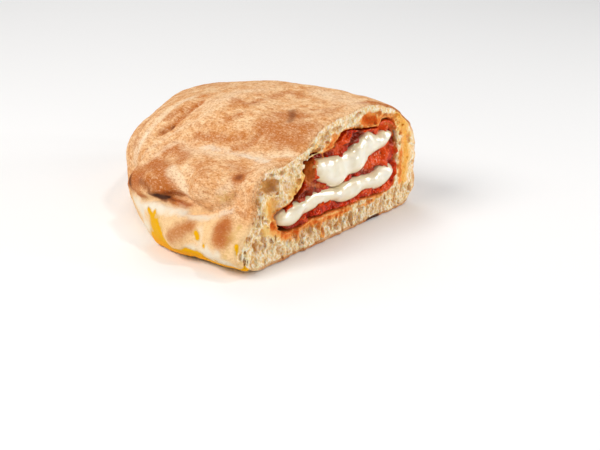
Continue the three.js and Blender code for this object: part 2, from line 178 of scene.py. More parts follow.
HOLLOWS = [
    ((27, 40.6), (6.6, 4.6), 7, -22),  # the largest, left of the filling
    ((40, 37), (6.5, 4), 2.6, -10),  # shallow, between it and the filling
    ((28.5, 29), (4.6, 6), 4.2, 10),  # stained by the filling
    ((35.5, 31), (3.2, 3.4), 2.2, 0),
    ((17.8, 36), (1.2, 3.2), 3, 8),
    ((20.3, 28), (1.1, 3.4), 2.6, -6),
    ((16.2, 28.5), (0.9, 3), 2.2, 6),
    ((14.3, 22), (1.3, 2.2), 2, 0),
    ((16.6, 12.2), (2.4, 4), 4.5, 8),  # soft void near the base
    ((8, 24.6), (1, 2.4), 2, 12),
    ((8.6, 18.6), (1.2, 2.8), 2.4, 6),
    ((12, 17), (0.9, 2), 1.8, 0),
    ((45.6, 43.4), (1.7, 1.5), 2.2, 0),
    ((39.6, 42.6), (1.5, 0.9), 1.6, 0),
    ((61, 49.4), (4.8, 2.6), 4.5, 14),  # behind thin strands
    ((68.7, 55.2), (2.9, 2.3), 3.6, 10),
    ((57.6, 53.4), (3, 1), 2.6, 20),
    ((34.3, 44.6), (1.6, 1.6), 2.6, 0),
    ((42.4, 44.8), (3.4, 2.2), 2.2, 6),
    ((74.6, 56.6), (1.6, 1), 1.8, 10),
    ((105.8, 56), (6.4, 2.8), 5.5, -8),  # stained by the sauce
    ((119.6, 51.2), (5.6, 2.4), 5, -10),
    ((66.8, 6.6), (1.5, 3.1), 4, 4),  # dark slots in the base
    ((63.6, 9.6), (1.2, 2.4), 3, 0),
    ((73, 8.4), (0.8, 2.4), 2.2, 6),
    ((82.5, 6.6), (1.7, 2.2), 3, 0),
    ((78, 5.4), (1, 1.8), 2, 0),
    ((99.6, 8.2), (1.9, 1.5), 3.4, 0),
    ((35.6, 16.6), (3.6, 1.7), 3, -14),  # under the end of the lower cheese
    ((49.2, 15.6), (1.5, 0.9), 1.8, 0),
]
HOLLOW_FRONT = 0.2  # x of their centres
CUT_SETBACK = 0.4  # how far the crumb between them lies behind the plane of the cut

# Thin strands of dough across the hollows: two ends in (x, y, z) and a radius

STRANDS = [
    ((0, 54.5, 49.6), (-0.6, 57.6, 52.4), 0.5),
    ((-0.4, 55, 48.2), (-0.2, 64.6, 49), 0.45),
    ((0, 64.5, 50.8), (-0.4, 66.6, 45.2), 0.5),
    ((-0.2, 63.8, 48.6), (-0.4, 70.6, 50.6), 0.55),
    ((-0.2, 65.6, 52.4), (-0.2, 66.8, 56.8), 0.5),
    ((-0.6, 57, 51.2), (-0.8, 59, 47.4), 0.35),
    ((-0.3, 19.2, 33.6), (-0.1, 18.4, 22.4), 0.6),
    ((-0.3, 15.8, 33), (-0.1, 14.8, 25), 0.55),
    ((-0.8, 33.2, 44.4), (-0.6, 33.4, 33.4), 0.7),
    ((-0.8, 23.2, 36.2), (-0.6, 34.4, 34.4), 0.7),
    ((-0.6, 111.2, 56.8), (-0.8, 112.4, 50.8), 0.7),
]

PORES = 900
PORE_TRIES = 6  # places drawn for each pore
PORE_SEED = 907
PORE_ROOM = 0.9  # dough left between a pore and the crust
PORE_FRONT = 0.2  # x of the foremost centres
PORE_SPAN = 2.2  # how far behind those the rest lie
PORE_SIZE = 0.6  # half size of the smallest
PORE_GROWTH = 1.3  # what the largest add to that

# Creases pressed into the crust or standing out of it: width, depth (above 0 cuts in), path

LIP_LEFT = [
    (-88, 20, 17), (-79, 16, 19), (-70, 13, 23), (-63, 11.5, 24.4), (-56, 11.5, 23.8),
    (-48, 11, 22.6),
]  # fmt: skip
LIP_RIGHT = [
    (-48, 11, 22.6), (-41, 11, 23.2), (-34, 12, 24), (-29, 13, 25.4), (-22, 12.5, 28.6),
    (-16, 13.5, 31.2),
]  # fmt: skip
CREASES = [
    (1.3, 2.3, *LIP_LEFT),
    (1.3, 2.3, *LIP_RIGHT),
    (2, -1.8, (-88, 19, 21), (-80, 16, 23), (-71, 13, 26), (-64, 12, 28), (-56, 12, 27), (-48, 11.5, 26)),
    (1.7, -1.7, (-48, 11.5, 26), (-40, 11.5, 26.4), (-34, 13, 27), (-28, 13, 29.4), (-20, 13, 33)),
    (1.5, 1.6, (-12.4, 15, 40), (-12.6, 15, 36.5), (-12.8, 14.5, 33.6), (-15, 13.6, 31.6)),  # the nick
    (3.4, 0.8, (-18, 15, 38), (-15.4, 14.5, 35)),
    (1.8, -0.9, (-50, 4, 18), (-43, 4, 20), (-37, 7, 22), (-33, 10, 23.5), (-23, 10, 27)),
    (1.2, 0.5, (-62, 9, 24), (-61, 8, 19)),  # folds in the floured band
    (1.2, 0.45, (-56, 8, 24), (-55, 6, 19)),
    (1, 0.4, (-49, 7, 23), (-47, 5, 20)),
    (2.4, 0.9, (-70, 40, 45), (-61, 40, 46), (-51, 38, 47), (-43, 38, 48)),
    (2.2, 0.9, (-43, 38, 48), (-33, 39, 49), (-24, 40, 49), (-15, 42, 50), (-2, 46, 52)),
    (2.2, 0.8, (-58, 44, 50), (-48, 42, 50), (-40, 43, 51), (-33, 44, 52)),
    (1.8, 1, (-37, 41, 49), (-31, 44, 51), (-29, 49, 54), (-27, 54, 57)),
    (1.6, 1.7, (-92, 43, 44), (-87, 47, 48), (-85, 52, 51), (-83, 59, 56), (-81, 66, 59)),
    (3, -0.7, (-94, 46, 47), (-92, 55, 53), (-89, 64, 57)),
    (1.4, 0.8, (-88, 72, 60), (-85, 74, 61), (-81, 78, 62)),
    (1.6, 0.6, (-80, 80, 62), (-90, 88, 61), (-97, 97, 59)),
    (2, 0.6, (-103, 38, 34), (-99, 43, 43), (-98, 52, 50), (-96, 61, 55)),
    (2.2, -0.6, (-106, 38, 31), (-104, 41, 39), (-105, 49, 45), (-104, 60, 51)),
    (1.4, 0.6, (-101, 33, 27), (-95, 34, 34), (-91, 37, 39), (-84, 43, 46)),
    (1.4, 0.6, (-87, 30, 33), (-86, 34, 37), (-82, 37, 41), (-74, 41, 46)),
    (1.6, 0.5, (-60, 52, 57), (-52, 55, 60), (-47, 62, 62)),
    (2, 0.4, (-70, 60, 60), (-60, 64, 62), (-50, 72, 64)),
    (1.6, 0.4, (-50, 80, 65), (-40, 88, 65), (-30, 92, 65)),
    (1.6, 0.4, (-34, 76, 63), (-24, 80, 64), (-12, 86, 64)),
    (0.9, 0.7, (-18, 80, 63), (-14, 82, 64)),
    (2, 0.4, (-30, 60, 60), (-20, 62, 61), (-8, 64, 60)),
    (1.8, 0.4, (-22, 52, 56), (-12, 54, 57), (-4, 58, 57)),
    (2.2, 0.6, (-110, 48, 41), (-112, 60, 47), (-108, 75, 53)),
    (0.8, 0.4, (-35, 2, 8), (-22, 1, 8), (-8, 0, 8)),
    (0.8, 0.35, (-33, 3, 5.5), (-20, 1, 5.5), (-6, 1, 5.5)),
]

# Where the crust is browner, paler, floured, burnt or oily, with painted shade in some creases and beside
# the nick: width, strength, path

TOASTED_AND_CREASE_SHADE = [
    (9, 0.85, (-27, 56, 59), (-14, 53, 55), (-8, 55, 56)),  # beside the cut
    (8, 0.85, (-16, 60, 60), (-10, 61, 59), (-6, 62, 58)),
    (5, 0.5, (-8, 76, 62), (-9, 84, 63)),
    (4, 0.7, (-60, 69, 63), (-50, 67, 64), (-49, 75, 64)),  # middle of the dome
    (4, 0.7, (-47, 83, 65), (-44, 94, 65), (-36, 92, 65)),
    (6, 0.9, (-26, 66, 62), (-18, 70, 62)),
    (4.5, 0.75, (-21, 66, 61), (-22, 59, 60), (-25, 54, 58)),
    # brown line in a crease: toasting together with painted crease shade
    (1.6, 0.8, (-18, 80, 63), (-14, 82, 64), (-12, 86, 64)),
    (3, 0.75, (-50, 52, 58), (-47, 58, 61)),
    (3.6, 0.75, (-64, 44, 49), (-53, 44, 51), (-44, 44, 52), (-37, 47, 54)),  # above the valley
    # the next four marks: brown lines along creases, toasting together with painted crease shade
    (3, 0.95, (-37, 42, 50), (-31, 44, 51), (-29, 49, 54), (-27, 54, 58)),
    (2.6, 0.95, (-90, 44, 46), (-86, 50, 50), (-83, 59, 56), (-81, 66, 59)),  # along the crease: toasting together with painted crease shade
    (2.4, 0.7, (-88, 72, 60), (-82, 77, 62)),
    (2.4, 0.6, (-97, 97, 59), (-93, 99, 61)),
    (3.4, 0.8, (-92, 52, 52), (-88, 58, 55)),
    (4.5, 0.65, (-106, 42, 36), (-109, 52, 44), (-109, 63, 50)),
    (2.4, 0.7, (-104, 38, 36), (-102, 42, 42)),
    (5.5, 0.85, (-80, 36, 41), (-72, 36, 43), (-63, 33, 44), (-57, 26, 43)),  # on the roll
    (6.8, 1.35, (-94, 26, 24), (-86, 22, 27), (-77, 19, 30)),
    (7, 1.1, (-82, 29, 35), (-72, 23, 38), (-64, 18, 38), (-58, 14, 35), (-55, 13, 31)),
    (6, 0.5, (-41, 22, 45), (-35, 17, 43), (-34, 12, 36)),
    (5, 0.6, (-24, 26, 47), (-15, 24, 46)),
    (4.6, 1.5, (-14, 19, 45)),
    (3.2, 1.5, (-70, 14, 30), (-58, 13.4, 28.6), (-50, 13, 27.2), (-43, 13, 26.6)),
    (4.4, 1, (-41, 0, 13.6), (-38, 2, 16), (-34, 4.6, 19.6)),  # blisters on the flank
    (5.4, 1.35, (-15, 8, 23.6), (-12, 4, 22), (-9, 0, 19.6)),
    (4.5, 1.1, (-72, 13, 31), (-68, 13, 33), (-61, 13, 33)),
    (2.8, 1.3, (-89, 22, 22.6), (-80, 17, 22.4), (-74, 14, 24)),
    (1.6, 0.6, (-5, 10, 28)),
    (2.4, 1.2, (-4, 102, 65), (0, 112, 64), (0, 122, 60), (0, 132, 55), (0, 140, 46)),  # edges of the cut
    (2, 0.9, (0, 20, 0.2), (0, 84, 0.2), (0, 142, 0.2)),
    (14, 0.5, (-70, 120, 60), (-60, 138, 48)),  # the side of the fold
    (16, 0.5, (-110, 110, 55)),
    (10, 0.4, (-35, 146, 34), (-60, 146, 26)),
]
PALE = [
    (4, 1, (-57, 18, 40), (-52, 16, 37), (-46, 13, 33), (-44, 12, 29)),  # thumb dent
    (3.5, 0.6, (-50, 20, 42), (-44, 18, 42)),
    (3.4, 0.8, (-20, 12, 38), (-16, 14, 41)),
    (2.2, 0.9, (-15.4, 14, 32.4), (-13, 15, 35.6)),
    (2.6, 0.7, (-86, 34, 37), (-82, 37, 41), (-74, 41, 46), (-66, 39, 46)),  # valley
    (5.5, 0.7, (-66, 38, 46), (-56, 35, 47), (-47, 34, 48), (-37, 35, 48), (-28, 37, 49)),
    (4, 0.85, (-28, 38, 49), (-15, 41, 50), (-4, 45, 51)),
    (5, 0.5, (-15, 35, 49), (-6, 34, 48), (-4, 27, 47), (-3, 21, 46)),
    (3.6, 0.95, (-107, 37, 28), (-104, 38, 34), (-101, 39, 38), (-99, 43, 44)),  # left end
    (4.4, 0.8, (-99, 43, 44), (-98, 52, 51), (-97, 60, 55), (-93, 70, 58)),
    (2, 0.6, (-101, 33, 27), (-95, 34, 34), (-91, 37, 39), (-84, 43, 46), (-78, 47, 50)),
    (4, 0.5, (-80, 47, 49), (-70, 50, 54), (-66, 56, 59)),
    (8, 0.55, (-74, 62, 60), (-66, 66, 62), (-66, 80, 64), (-58, 88, 65)),
    (9, 0.6, (-31, 103, 66), (-18, 100, 65), (-6, 99, 65)),
]
FLOURED = [
    (6, 0.9, (-92, 23, 12), (-82, 18, 14), (-74, 14, 14)),
    (4, 0.85, (-86, 19, 13), (-76, 14, 17.4), (-66, 11, 20)),
    (6, 0.8, (-78, 17, 6), (-68, 12, 9)),
    (4, 0.9, (-66, 10, 20.6), (-58, 9, 21.4), (-50, 9, 21.6), (-42, 9, 21.8)),  # band under the lip
    (3, 0.75, (-44, 8, 21), (-37, 9, 22), (-29, 10, 23), (-21, 11, 27), (-14, 12, 31)),
    (3.6, 0.6, (-28, 5, 18), (-26, 3, 10)),
    (5, 1, (-33, 3, 7), (-20, 1, 8), (-6, 1, 7)),  # foot of the flank
    (3.6, 0.9, (-25, 2, 9), (-16, 0, 12), (-10, -1, 12.4)),
    (2, 0.5, (-102, 37, 36), (-98, 43, 44)),
    (2.4, 0.4, (-27, 38, 50), (-10, 42, 51)),
    (3.4, 0.6, (-56, 39, 46.6), (-44, 39, 48), (-32, 38, 48.6), (-20, 37, 49), (-11, 36.6, 49)),
]
BURNT = [
    (1.9, 1.25, (-67, 12.5, 27.6), (-62, 12.5, 26.8), (-56, 13, 26.2)),
    (1.3, 0.8, (-56, 13, 26.2), (-50, 12.6, 25.4)),
    (3, 0.42, (-78, 16, 30), (-72, 13, 30), (-66, 12.4, 28.8)),
    (2.2, 0.85, (-91, 22, 27), (-90, 21, 24)),
    (2.8, 0.62, (-19, 65, 61), (-22, 69, 62), (-25, 73, 62)),
    (2.2, 0.45, (-49, 72, 64)),
    (1.4, 1, (-90, 44, 46), (-87, 47, 48), (-86, 49, 49)),
    (2.6, 0.65, (-14, 19, 45)),
    (2.2, 0.35, (-78, 33, 39)),
    (1.6, 1, (-1, 106, 0.5), (-1, 114, 0.5)),
]
OILY_AND_SHADED = [
    (1.7, 1, (-66, 10, 18.4), (-63, 8, 17), (-61, 8, 15)),
    (1.4, 1, (-60, 8, 19.4), (-61, 8, 16)),
    (3.2, 1.1, (-61, 8, 15), (-59, 7, 13)),
    (5.6, 1.1, (-58, 7, 12), (-56, 5, 9), (-57, 7, 5)),
    (4.6, 1.4, (-61, 9, 4), (-56, 7, 4), (-50, 5, 5)),
    (2, 1, (-50, 4, 5.6), (-44, 3, 5.4), (-38, 3, 5)),
    (3, 1.2, (-58, 8, 2), (-52, 7, 2), (-45, 6, 2), (-36, 5, 2), (-30, 5, 2)),
    (3.2, 1.2, (-34, 3, 6), (-26, 3, 4)),
    (2.6, 1.2, (-30, 6, 3), (-14, 6, 3.4), (0, 7, 4)),
    (4.5, 0.27, (-20, 6, 6), (-10, 4, 7), (-2, 4, 9)),
    (1.5, 0.9, (-29.4, 5, 17), (-28.6, 4, 15.2)),
    (1.3, 0.9, (-24, 3, 12.6)),
    (1.7, 0.5, (-5.6, 9, 24.6)),
    (1.3, 0.8, (-1, 2, 18), (-0.6, 2, 13)),
    (3.6, 0.2, (-6, 5, 22), (-5, 1, 17), (-6, -1, 12)),
    (3.4, 0.22, (-20, 13, 34), (-16, 14.5, 35.5)),  # painted shade beside the nick, in the golden tone of the oil's halo
    (1.6, 0.6, (-14, 2, 7)),
]
OIL_THICKNESS = 0.5

# The same on the cut, where the crumb is soaked, clean or torn, with the path in (y, z)

SAUCE_SOAKED = [
    (3.4, 0.9, (29, 20.4), (38, 13), (48, 12)),
    (2, 0.8, (50, 12.4), (62, 12.6), (76, 12), (90, 11)),
    (1.4, 0.6, (100, 10.6), (120, 11.6)),
    (4.6, 1, (104, 55), (118, 51)),
    (1.4, 0.75, (133.8, 15), (134.8, 22), (134.4, 32)),
    (1.1, 0.45, (134.6, 32), (133.4, 44)),
    (2.4, 0.7, (126, 52), (116, 55.6)),
    (1.6, 0.8, (56, 44), (53, 38), (51, 34)),
    (1.6, 0.7, (64, 47.6), (80, 50.4), (92, 53)),
    (2.6, 0.8, (68, 49), (74, 50), (78, 52)),
    (0.7, 0.7, (6, 22.6), (12, 25.6)),
    (1.7, 0.6, (65.2, 9.4), (66.4, 4)),  # dark slots in the base
    (1.2, 0.5, (73, 9), (74, 5)),
    (1.6, 0.5, (82.4, 8), (82.4, 5)),
]
FAT_SOAKED = [
    (4.6, 1, (28.5, 27), (26, 31)),
    (2.6, 0.7, (42, 31.4), (49, 36), (53.6, 42)),
    (3.2, 0.6, (22, 20), (33, 16)),
    (4, 1, (136.6, 16), (138.8, 28), (137.6, 40), (131, 52)),
    (3.6, 0.6, (60, 49.8)),
    (2.2, 0.75, (6, 20), (8, 25), (13, 30)),
    (4, 0.35, (27, 41)),
]
CLEAN_CRUMB = [
    (2.4, 1, (51, 35), (52.4, 40), (52.6, 45), (56, 48)),  # left wall of the pocket
    (5, 0.6, (30, 34), (40, 40), (46, 45)),
    (2, 1.2, (131, 43), (131.8, 31), (131.4, 18)),  # membrane on the right
]
TORN_CRUST = [
    (3, 3, (4, 17.3), (5.6, 22.8), (12, 27), (16, 34), (15.7, 40.9), (19, 45)),
    (1.4, 1.5, (6, 4), (4, 10), (3.6, 17)),
    (1.3, 1.6, (14, 0.6), (40, 0.6), (80, 0.4), (140, 0.8)),  # the baked underside
    (1.8, 1.4, (60, 1.4), (72, 1.8), (92, 1.2)),
    (1.6, 1.2, (134, 2), (142, 6), (145, 16)),
    (1.2, 0.9, (106, 64.8), (118, 61.4), (128, 57), (137, 49.4), (144, 41)),  # golden upper edge
]
CUT_MARK_SCALE = (0.25, 1, 1)  # these marks reach four times as far inwards as their width

# The same on the filling

# Painted shade: darker sauce in the slits under the crumb and over the upper cheese, and in the shaded
# places beside and under the cheeses
SAUCE_PAINTED_SHADE = [
    (2, 1, (-1, 86, 47.6), (-1, 92, 49), (-1, 98, 51)),
    (6, 0.8, (-1, 46, 30), (-1, 54, 31), (-1, 60, 30)),
    (1.8, 1, (-1, 91, 46.6), (-1, 99, 50)),
    (1.2, 0.9, (-1, 66, 46), (-1, 76, 46.4)),
    (2, 0.8, (-1, 38, 16), (-1, 50, 15)),
    (1.6, 0.6, (-1, 118, 14.6), (-1, 126, 15.6)),
]
SAUCE_BRIGHT = [
    (4, 1, (-1, 80, 47), (-1, 84, 49)),
    (5, 0.9, (-1, 106, 31), (-1, 114, 33), (-1, 122, 36)),
    (4, 1.2, (-1, 116, 49), (-1, 122, 50)),
]
# Brown-orange by the walls of the pocket and in the slit over the upper cheese: a stained tone together
# with painted shade
SAUCE_AMBER = [
    (3.6, 1.2, (-2, 56.5, 46), (-2, 57, 41), (-2, 57, 36)),
    (2, 1, (-1, 60, 46), (-1, 70, 46.4), (-1, 78, 48)),
    (1.6, 0.8, (-1, 60, 33), (-1, 68, 29.5)),
    (1.8, 0.8, (-1, 120, 50), (-1, 126, 47), (-1, 129, 40), (-1, 129, 28)),
]
# Painted glints on the sauce: pale pink specks that stand in for highlights
SAUCE_PAINTED_GLINTS = [
    (4, 1, (-1, 104, 30), (-1, 112, 32), (-1, 120, 35)),  # painted glints: pale pink specks that stand in for highlights on the wet sauce
    (2, 0.7, (-1, 48, 30)),
    (2, 0.8, (-1, 66, 46), (-1, 74, 46.4)),
    (3, 0.7, (-1, 104, 15)),
]
CHEESE_BROWNED = {
    "cheese_upper": [
        (2.2, 1, (-1, 58.6, 36), (-1, 59.4, 40), (-1, 61, 44)),
        (1.6, 0.5, (-1, 64, 33.6)),
    ],
    "cheese_lower": [],
}

# Lumps on the front of the sauce, as (y, z), and their size

SAUCE_LUMPS = [
    (84, 48.6), (90, 49.5), (55, 32), (112, 31.8), (121, 33.2), (68, 17), (104, 15.6), (120, 49.2),
]  # fmt: skip
LUMP_HEIGHT = 1.5
LUMP_HALF = (3, 2)

# Where the sauce lies further in: (y, z), half sizes (y, z), how deep

SAUCE_RECESSES = [
    ((78, 26.8), (8, 0.9), 4),  # where the cheeses meet
    ((55, 42), (2.5, 6), 5),  # beside the upper cheese
    ((66, 46.2), (9, 1.6), 2.5),
    ((93, 49.5), (4.5, 1.6), 3),  # slit under the crumb
]

# The masks that the materials read, and their marks

CRUST_MARKS = {"toast_and_crease_shade": TOASTED_AND_CREASE_SHADE, "pale": PALE, "flour": FLOURED, "burnt": BURNT}
CRUMB_MARKS = {"sauce": SAUCE_SOAKED, "fat": FAT_SOAKED, "clean": CLEAN_CRUMB, "torn": TORN_CRUST}
SAUCE_MARKS = {"dark": SAUCE_PAINTED_SHADE, "bright": SAUCE_BRIGHT, "amber": SAUCE_AMBER}

# ---- stage

FLOOR_HALF = 6.0  # metres, as the camera's and the lights' places are
FLOOR_DROP = 0.0002
CAMERA_PLACE = (0.48515, -0.53104, 0.26416)
CAMERA_AZIMUTH = 39.0
CAMERA_ELEVATION = 21.0
CAMERA_LENS = 84.7
LIGHT_AIM = (0, 0, 0.03)
WORLD_STRENGTH = 0.26
WHITE = (1.0, 1.0, 1.0)

# Square area lights: name, place, size, power, tint

LIGHTS = [
    ("key", (-0.2, -0.8, 0.8), 0.5, 9.4, (1.0, 0.97, 0.94)),
    ("fill", (0.95, -0.3, 0.5), 0.4, 1.0, WHITE),
    ("back", (-0.6, 0.5, 0.8), 0.5, 2.6, WHITE),
    ("soft", (0.66, 0.72, 0.2), 0.3, 2.8, WHITE),
    ("spark", (0.8, 0.33, 0.3), 0.08, 0.9, WHITE),
    ("glint", (0.34, 0.12, 0.86), 0.1, 1.2, WHITE),
]


# ---- small mathematics


def ramp(value, start, stop):
    """0 before start, 1 after stop, smooth between; start may be the larger one."""
    share = np.clip((value - start) / (stop - start), 0, 1)
    return share * share * (3 - 2 * share)


def smooth_max(a, b, blend):
    share = np.clip(0.5 + 0.5 * (a - b) / blend, 0, 1)
    return b + (a - b) * share + blend * share * (1 - share)


def smooth_min(a, b, blend):
    return -smooth_max(-a, -b, blend)


def together(x, y, z):
    """One array of places, (..., 3), from arrays that fit each other."""
    return np.stack(np.broadcast_arrays(x, y, z), -1)


class Noise:
    """Smooth seeded noise between about -1 and 1."""

    SIZE = 32

    def __init__(self, seed):
        self.table = np.random.default_rng(seed).random((self.SIZE,) * 3).astype(np.float32) * 2 - 1

    def at(self, places, wavelength):
        """Values at an array of places for one size of lump."""
        scaled = np.asarray(places, dtype=np.float32) / wavelength
        cell = np.floor(scaled).astype(np.int64)
        share = scaled - cell
        share = share * share * (3 - 2 * share)
        total = np.zeros(scaled.shape[:-1], dtype=np.float32)
        for corner in range(8):
            offset = np.array([corner & 1, corner >> 1 & 1, corner >> 2 & 1])
            weight = np.prod(np.where(offset, share, 1 - share), axis=-1)
            key = (cell + offset) % self.SIZE
            total += weight * self.table[key[..., 0], key[..., 1], key[..., 2]]
        return total


wrinkle = Noise(11)
lump = Noise(23)
warp = [Noise(31), Noise(37), Noise(41)]

# Roughness of each surface: kind of noise, size of its lumps, height, shift of its pattern

CUT_ROUGHNESS = [(lump, 9.0, 0.6, 0), (lump, 3.2, 0.45, 50), (wrinkle, 1.5, 0.3, 0)]
CRUST_ROUGHNESS = [
    (lump, 17.0, 0.45, 0),
    (wrinkle, 7.0, 0.28, 0),
    (wrinkle, 3.2, 0.14, 90),
    (wrinkle, 1.6, 0.07, 40),
]
CHEESE_ROUGHNESS = [(wrinkle, 6.0, 0.16, 0)]
SAUCE_ROUGHNESS = [(lump, 5.0, 0.8, 0), (wrinkle, 3.0, 1.5, 0), (wrinkle, 1.8, 0.5, 9)]


def rough(places, kinds):
    """The sum of several kinds of roughness."""
    return sum(height * noise.at(places + shift, size) for noise, size, height, shift in kinds)


def bend(places, amount, wavelength):
    """A shift that makes straight marks wander."""
    return amount * np.stack([noise.at(places, wavelength) for noise in warp], 1)


def stroke(places, path, width):
    """1 along a path, falling off smoothly over its width."""
    path = np.array(path, dtype=float)
    if len(path) == 1:
        nearest = ((places - path[0]) ** 2).sum(1)
    else:
        nearest = np.full(len(places), 1e9)
        for start, stop in zip(path[:-1], path[1:]):
            along = stop - start
            share = np.clip((places - start) @ along / (along @ along), 0, 1)
            gap = places - start - share[:, None] * along
            nearest = np.minimum(nearest, (gap * gap).sum(1))
    return np.exp(-nearest / width**2)


def strokes(places, marks):
    """The strongest of several strokes."""
    total = np.zeros(len(places))
    for width, strength, *path in marks:
        total = np.maximum(total, strength * stroke(places, path, width))
    return total


def lifted(marks):
    """Marks in the plane of the cut from marks in (y, z)."""
    return [(width, strength, *((0, *spot) for spot in path)) for width, strength, *path in marks]


# ---- outer form, below 0 inside


def rim_inset(x, y):
    """How far a place in plan lies inside the contour: an arc, the fold, and a rounded tip."""
    arc = (np.hypot(x / REACH, (y - WIDTH) / WIDTH) - 1) * ((REACH + WIDTH) / 2)
    return -smooth_max(arc, y - WIDTH, TIP_ROUNDING)


def cushion(inset, z, waist, top, bottom, width, power=2.2):
    """A cushion with round sides: full height where inset is over width."""
    side = np.clip(1 - inset / width, 0, None)
    rise = np.clip(z - waist, 0, None) / (top - waist) + np.clip(waist - z, 0, None) / (waist - bottom)
    reach = (side**power + rise**power) ** (1 / power) - 1
    return reach * np.minimum((top - bottom) / 2, width)


def dome(x, y, z, inset):
    step_back = 44 * np.clip(1 + x / 100, 0, 1) * ramp(WIDTH - y, 30, 80)
    swelling = 4 * np.exp(-((x + 118) ** 2 + (y - 48) ** 2) / 28**2)
    fall = 14 * ramp(-x, 50, 150) + 6 * ramp(np.abs(y - 80), 25, 70) * ramp(-x, 10, 60)
    return cushion(inset - step_back + swelling, z, FOLD_WAIST, CREST - fall, bottom=-14, width=SHOULDER)


def roll(x, z, inset):
    """The roll along the sealed rim, where the upper layer was folded over."""
    overhang = 3 + 12 * ramp(x, -52, -6) - 7 * ramp(-x, 52, 84)
    behind_lip = inset - overhang
    top = ROLL_TOP + 8 * ramp(behind_lip, 4, 38) - 10 * ramp(-x, 45, 90)
    bottom = ROLL_BOTTOM + 7 * ramp(x, -40, -10) - 9 * ramp(-x, 50, 85)
    body = cushion(behind_lip, z, (top + bottom) / 2 - 2, top, bottom, width=12)
    end = (-x - 98) * 0.8
    return smooth_max(body, end, 6)


def lower_layer(x, z, inset):
    left = ramp(-x, 25, 75)
    out = 3.5 * ramp(-x, 20, 50) * ramp(x, -108, -78)
    bottom = 0.5 - 4 * ramp(-x, 0, 30)
    width = 26 - 12 * left
    return cushion(inset + out, z, 12 + 2 * left, LIP + 2 * left, bottom, width, 1.8 + 0.9 * left)


def seam(z, inset):
    """Fills the fold behind the roll and the lower layer."""
    return cushion(inset - 12, z, waist=22, top=44, bottom=0, width=12)


def food_form(x, y, z):
    inset = rim_inset(x, y)
    form = smooth_min(dome(x, y, z, inset), roll(x, z, inset), 5)
    form = smooth_min(form, lower_layer(x, z, inset), 1.6)
    form = smooth_min(form, seam(z, inset), 4)
    for place, radius, depth in RELIEF:
        far2 = (x - place[0]) ** 2 + (y - place[1]) ** 2 + (z - place[2]) ** 2
        form = form + depth * np.exp(-far2 / radius**2)
    return smooth_max(form, -z, 2)


# ---- slabs behind an outline


def smooth_outline(corners, per_corner=8):
    """Points of a smooth closed curve through the corners."""
    corners = np.array(corners, dtype=float)
    share = np.linspace(0, 1, per_corner, endpoint=False)[:, None]
    points = []
    for i in range(len(corners)):
        a, b, c, d = (corners[(i + k) % len(corners)] for k in (-1, 0, 1, 2))
        bow = (2 * a - 5 * b + 4 * c - d) * share**2 + (3 * b - a - 3 * c + d) * share**3
        points.append(b + 0.5 * ((c - a) * share + bow))
    return np.concatenate(points)


class Slab:
    """A closed outline on the cut that runs inwards and narrows like a bullet."""

    ROUNDNESS = 2.6
    NARROWEST = 0.02
    MAP_STEP = 0.5
    FAR = 40.0

    def __init__(self, outline, depth, sag=0.0, spread=0.0):
        self.points = smooth_outline(outline)
        self.middle = self.points.mean(0)
        self.depth, self.sag, self.spread = depth, sag, spread
        self.low = self.points.min(0) - self.FAR
        count = np.ceil((self.points.max(0) + self.FAR - self.low) / self.MAP_STEP).astype(int)
        axes = [self.low[i] + np.arange(count[i]) * self.MAP_STEP for i in range(2)]
        self.map = self._outline_distance(*np.meshgrid(*axes, indexing="ij"))

    def _outline_distance(self, y, z):
        """Distance to the outline, negative inside."""
        nearest = np.full(y.shape, 1e9)
        inside = np.zeros(y.shape, dtype=bool)
        for start, stop in zip(self.points, np.roll(self.points, -1, axis=0)):
            along = stop - start
            beyond_y, beyond_z = y - start[0], z - start[1]
            share = np.clip((beyond_y * along[0] + beyond_z * along[1]) / (along @ along), 0, 1)
            gap_y, gap_z = beyond_y - share * along[0], beyond_z - share * along[1]
            nearest = np.minimum(nearest, gap_y**2 + gap_z**2)
            spans = (start[1] > z) != (stop[1] > z)
            if along[1] != 0:
                inside ^= spans & (y < start[0] + beyond_z / along[1] * along[0])
        return np.where(inside, -1, 1) * np.sqrt(nearest) - self.spread

    def flat_distance(self, y, z):
        """Distance to the outline at any places on the cut, read from the map."""
        row = np.clip((y - self.low[0]) / self.MAP_STEP, 0, self.map.shape[0] - 1.001)
        column = np.clip((z - self.low[1]) / self.MAP_STEP, 0, self.map.shape[1] - 1.001)
        i, j = row.astype(int), column.astype(int)
        u, v = row - i, column - j
        near = self.map[i, j] * (1 - v) + self.map[i, j + 1] * v
        far = self.map[i + 1, j] * (1 - v) + self.map[i + 1, j + 1] * v
        return near * (1 - u) + far * u

    def distance(self, x, y, z):
        """Distance to the slab's side at places given one by one."""
        share = np.clip(-x / self.depth, 0, 1)
        scale = np.clip(1 - share**self.ROUNDNESS, 0, None) ** (1 / self.ROUNDNESS)
        scale = np.maximum(scale, self.NARROWEST)
        across = (y - self.middle[0]) / scale + self.middle[0]
        up = (z + self.sag * share**2 - self.middle[1]) / scale + self.middle[1]
        return scale * self.flat_distance(across, up) + np.where(-x > self.depth, -x - self.depth, 0)

    def grid_distance(self, axes):
        """The same on a grid, one plane of x after another."""
        y, z = np.meshgrid(axes[1], axes[2], indexing="ij")
        planes = [self.distance(np.float64(x), y, z).astype(np.float32) for x in axes[0]]
        return np.stack(planes)


cavity = Slab(CAVITY_OUTLINE, CAVITY_DEPTH)
sauce_slab = Slab(SAUCE_OUTLINE, SAUCE_DEPTH, spread=0.3)
cheese_slabs = {
    "cheese_upper": Slab(UPPER_CHEESE_OUTLINE, depth=72, sag=4, spread=0.03),
    "cheese_lower": Slab(LOWER_CHEESE_OUTLINE, depth=88, spread=0.03),
}


# ---- mesh builders


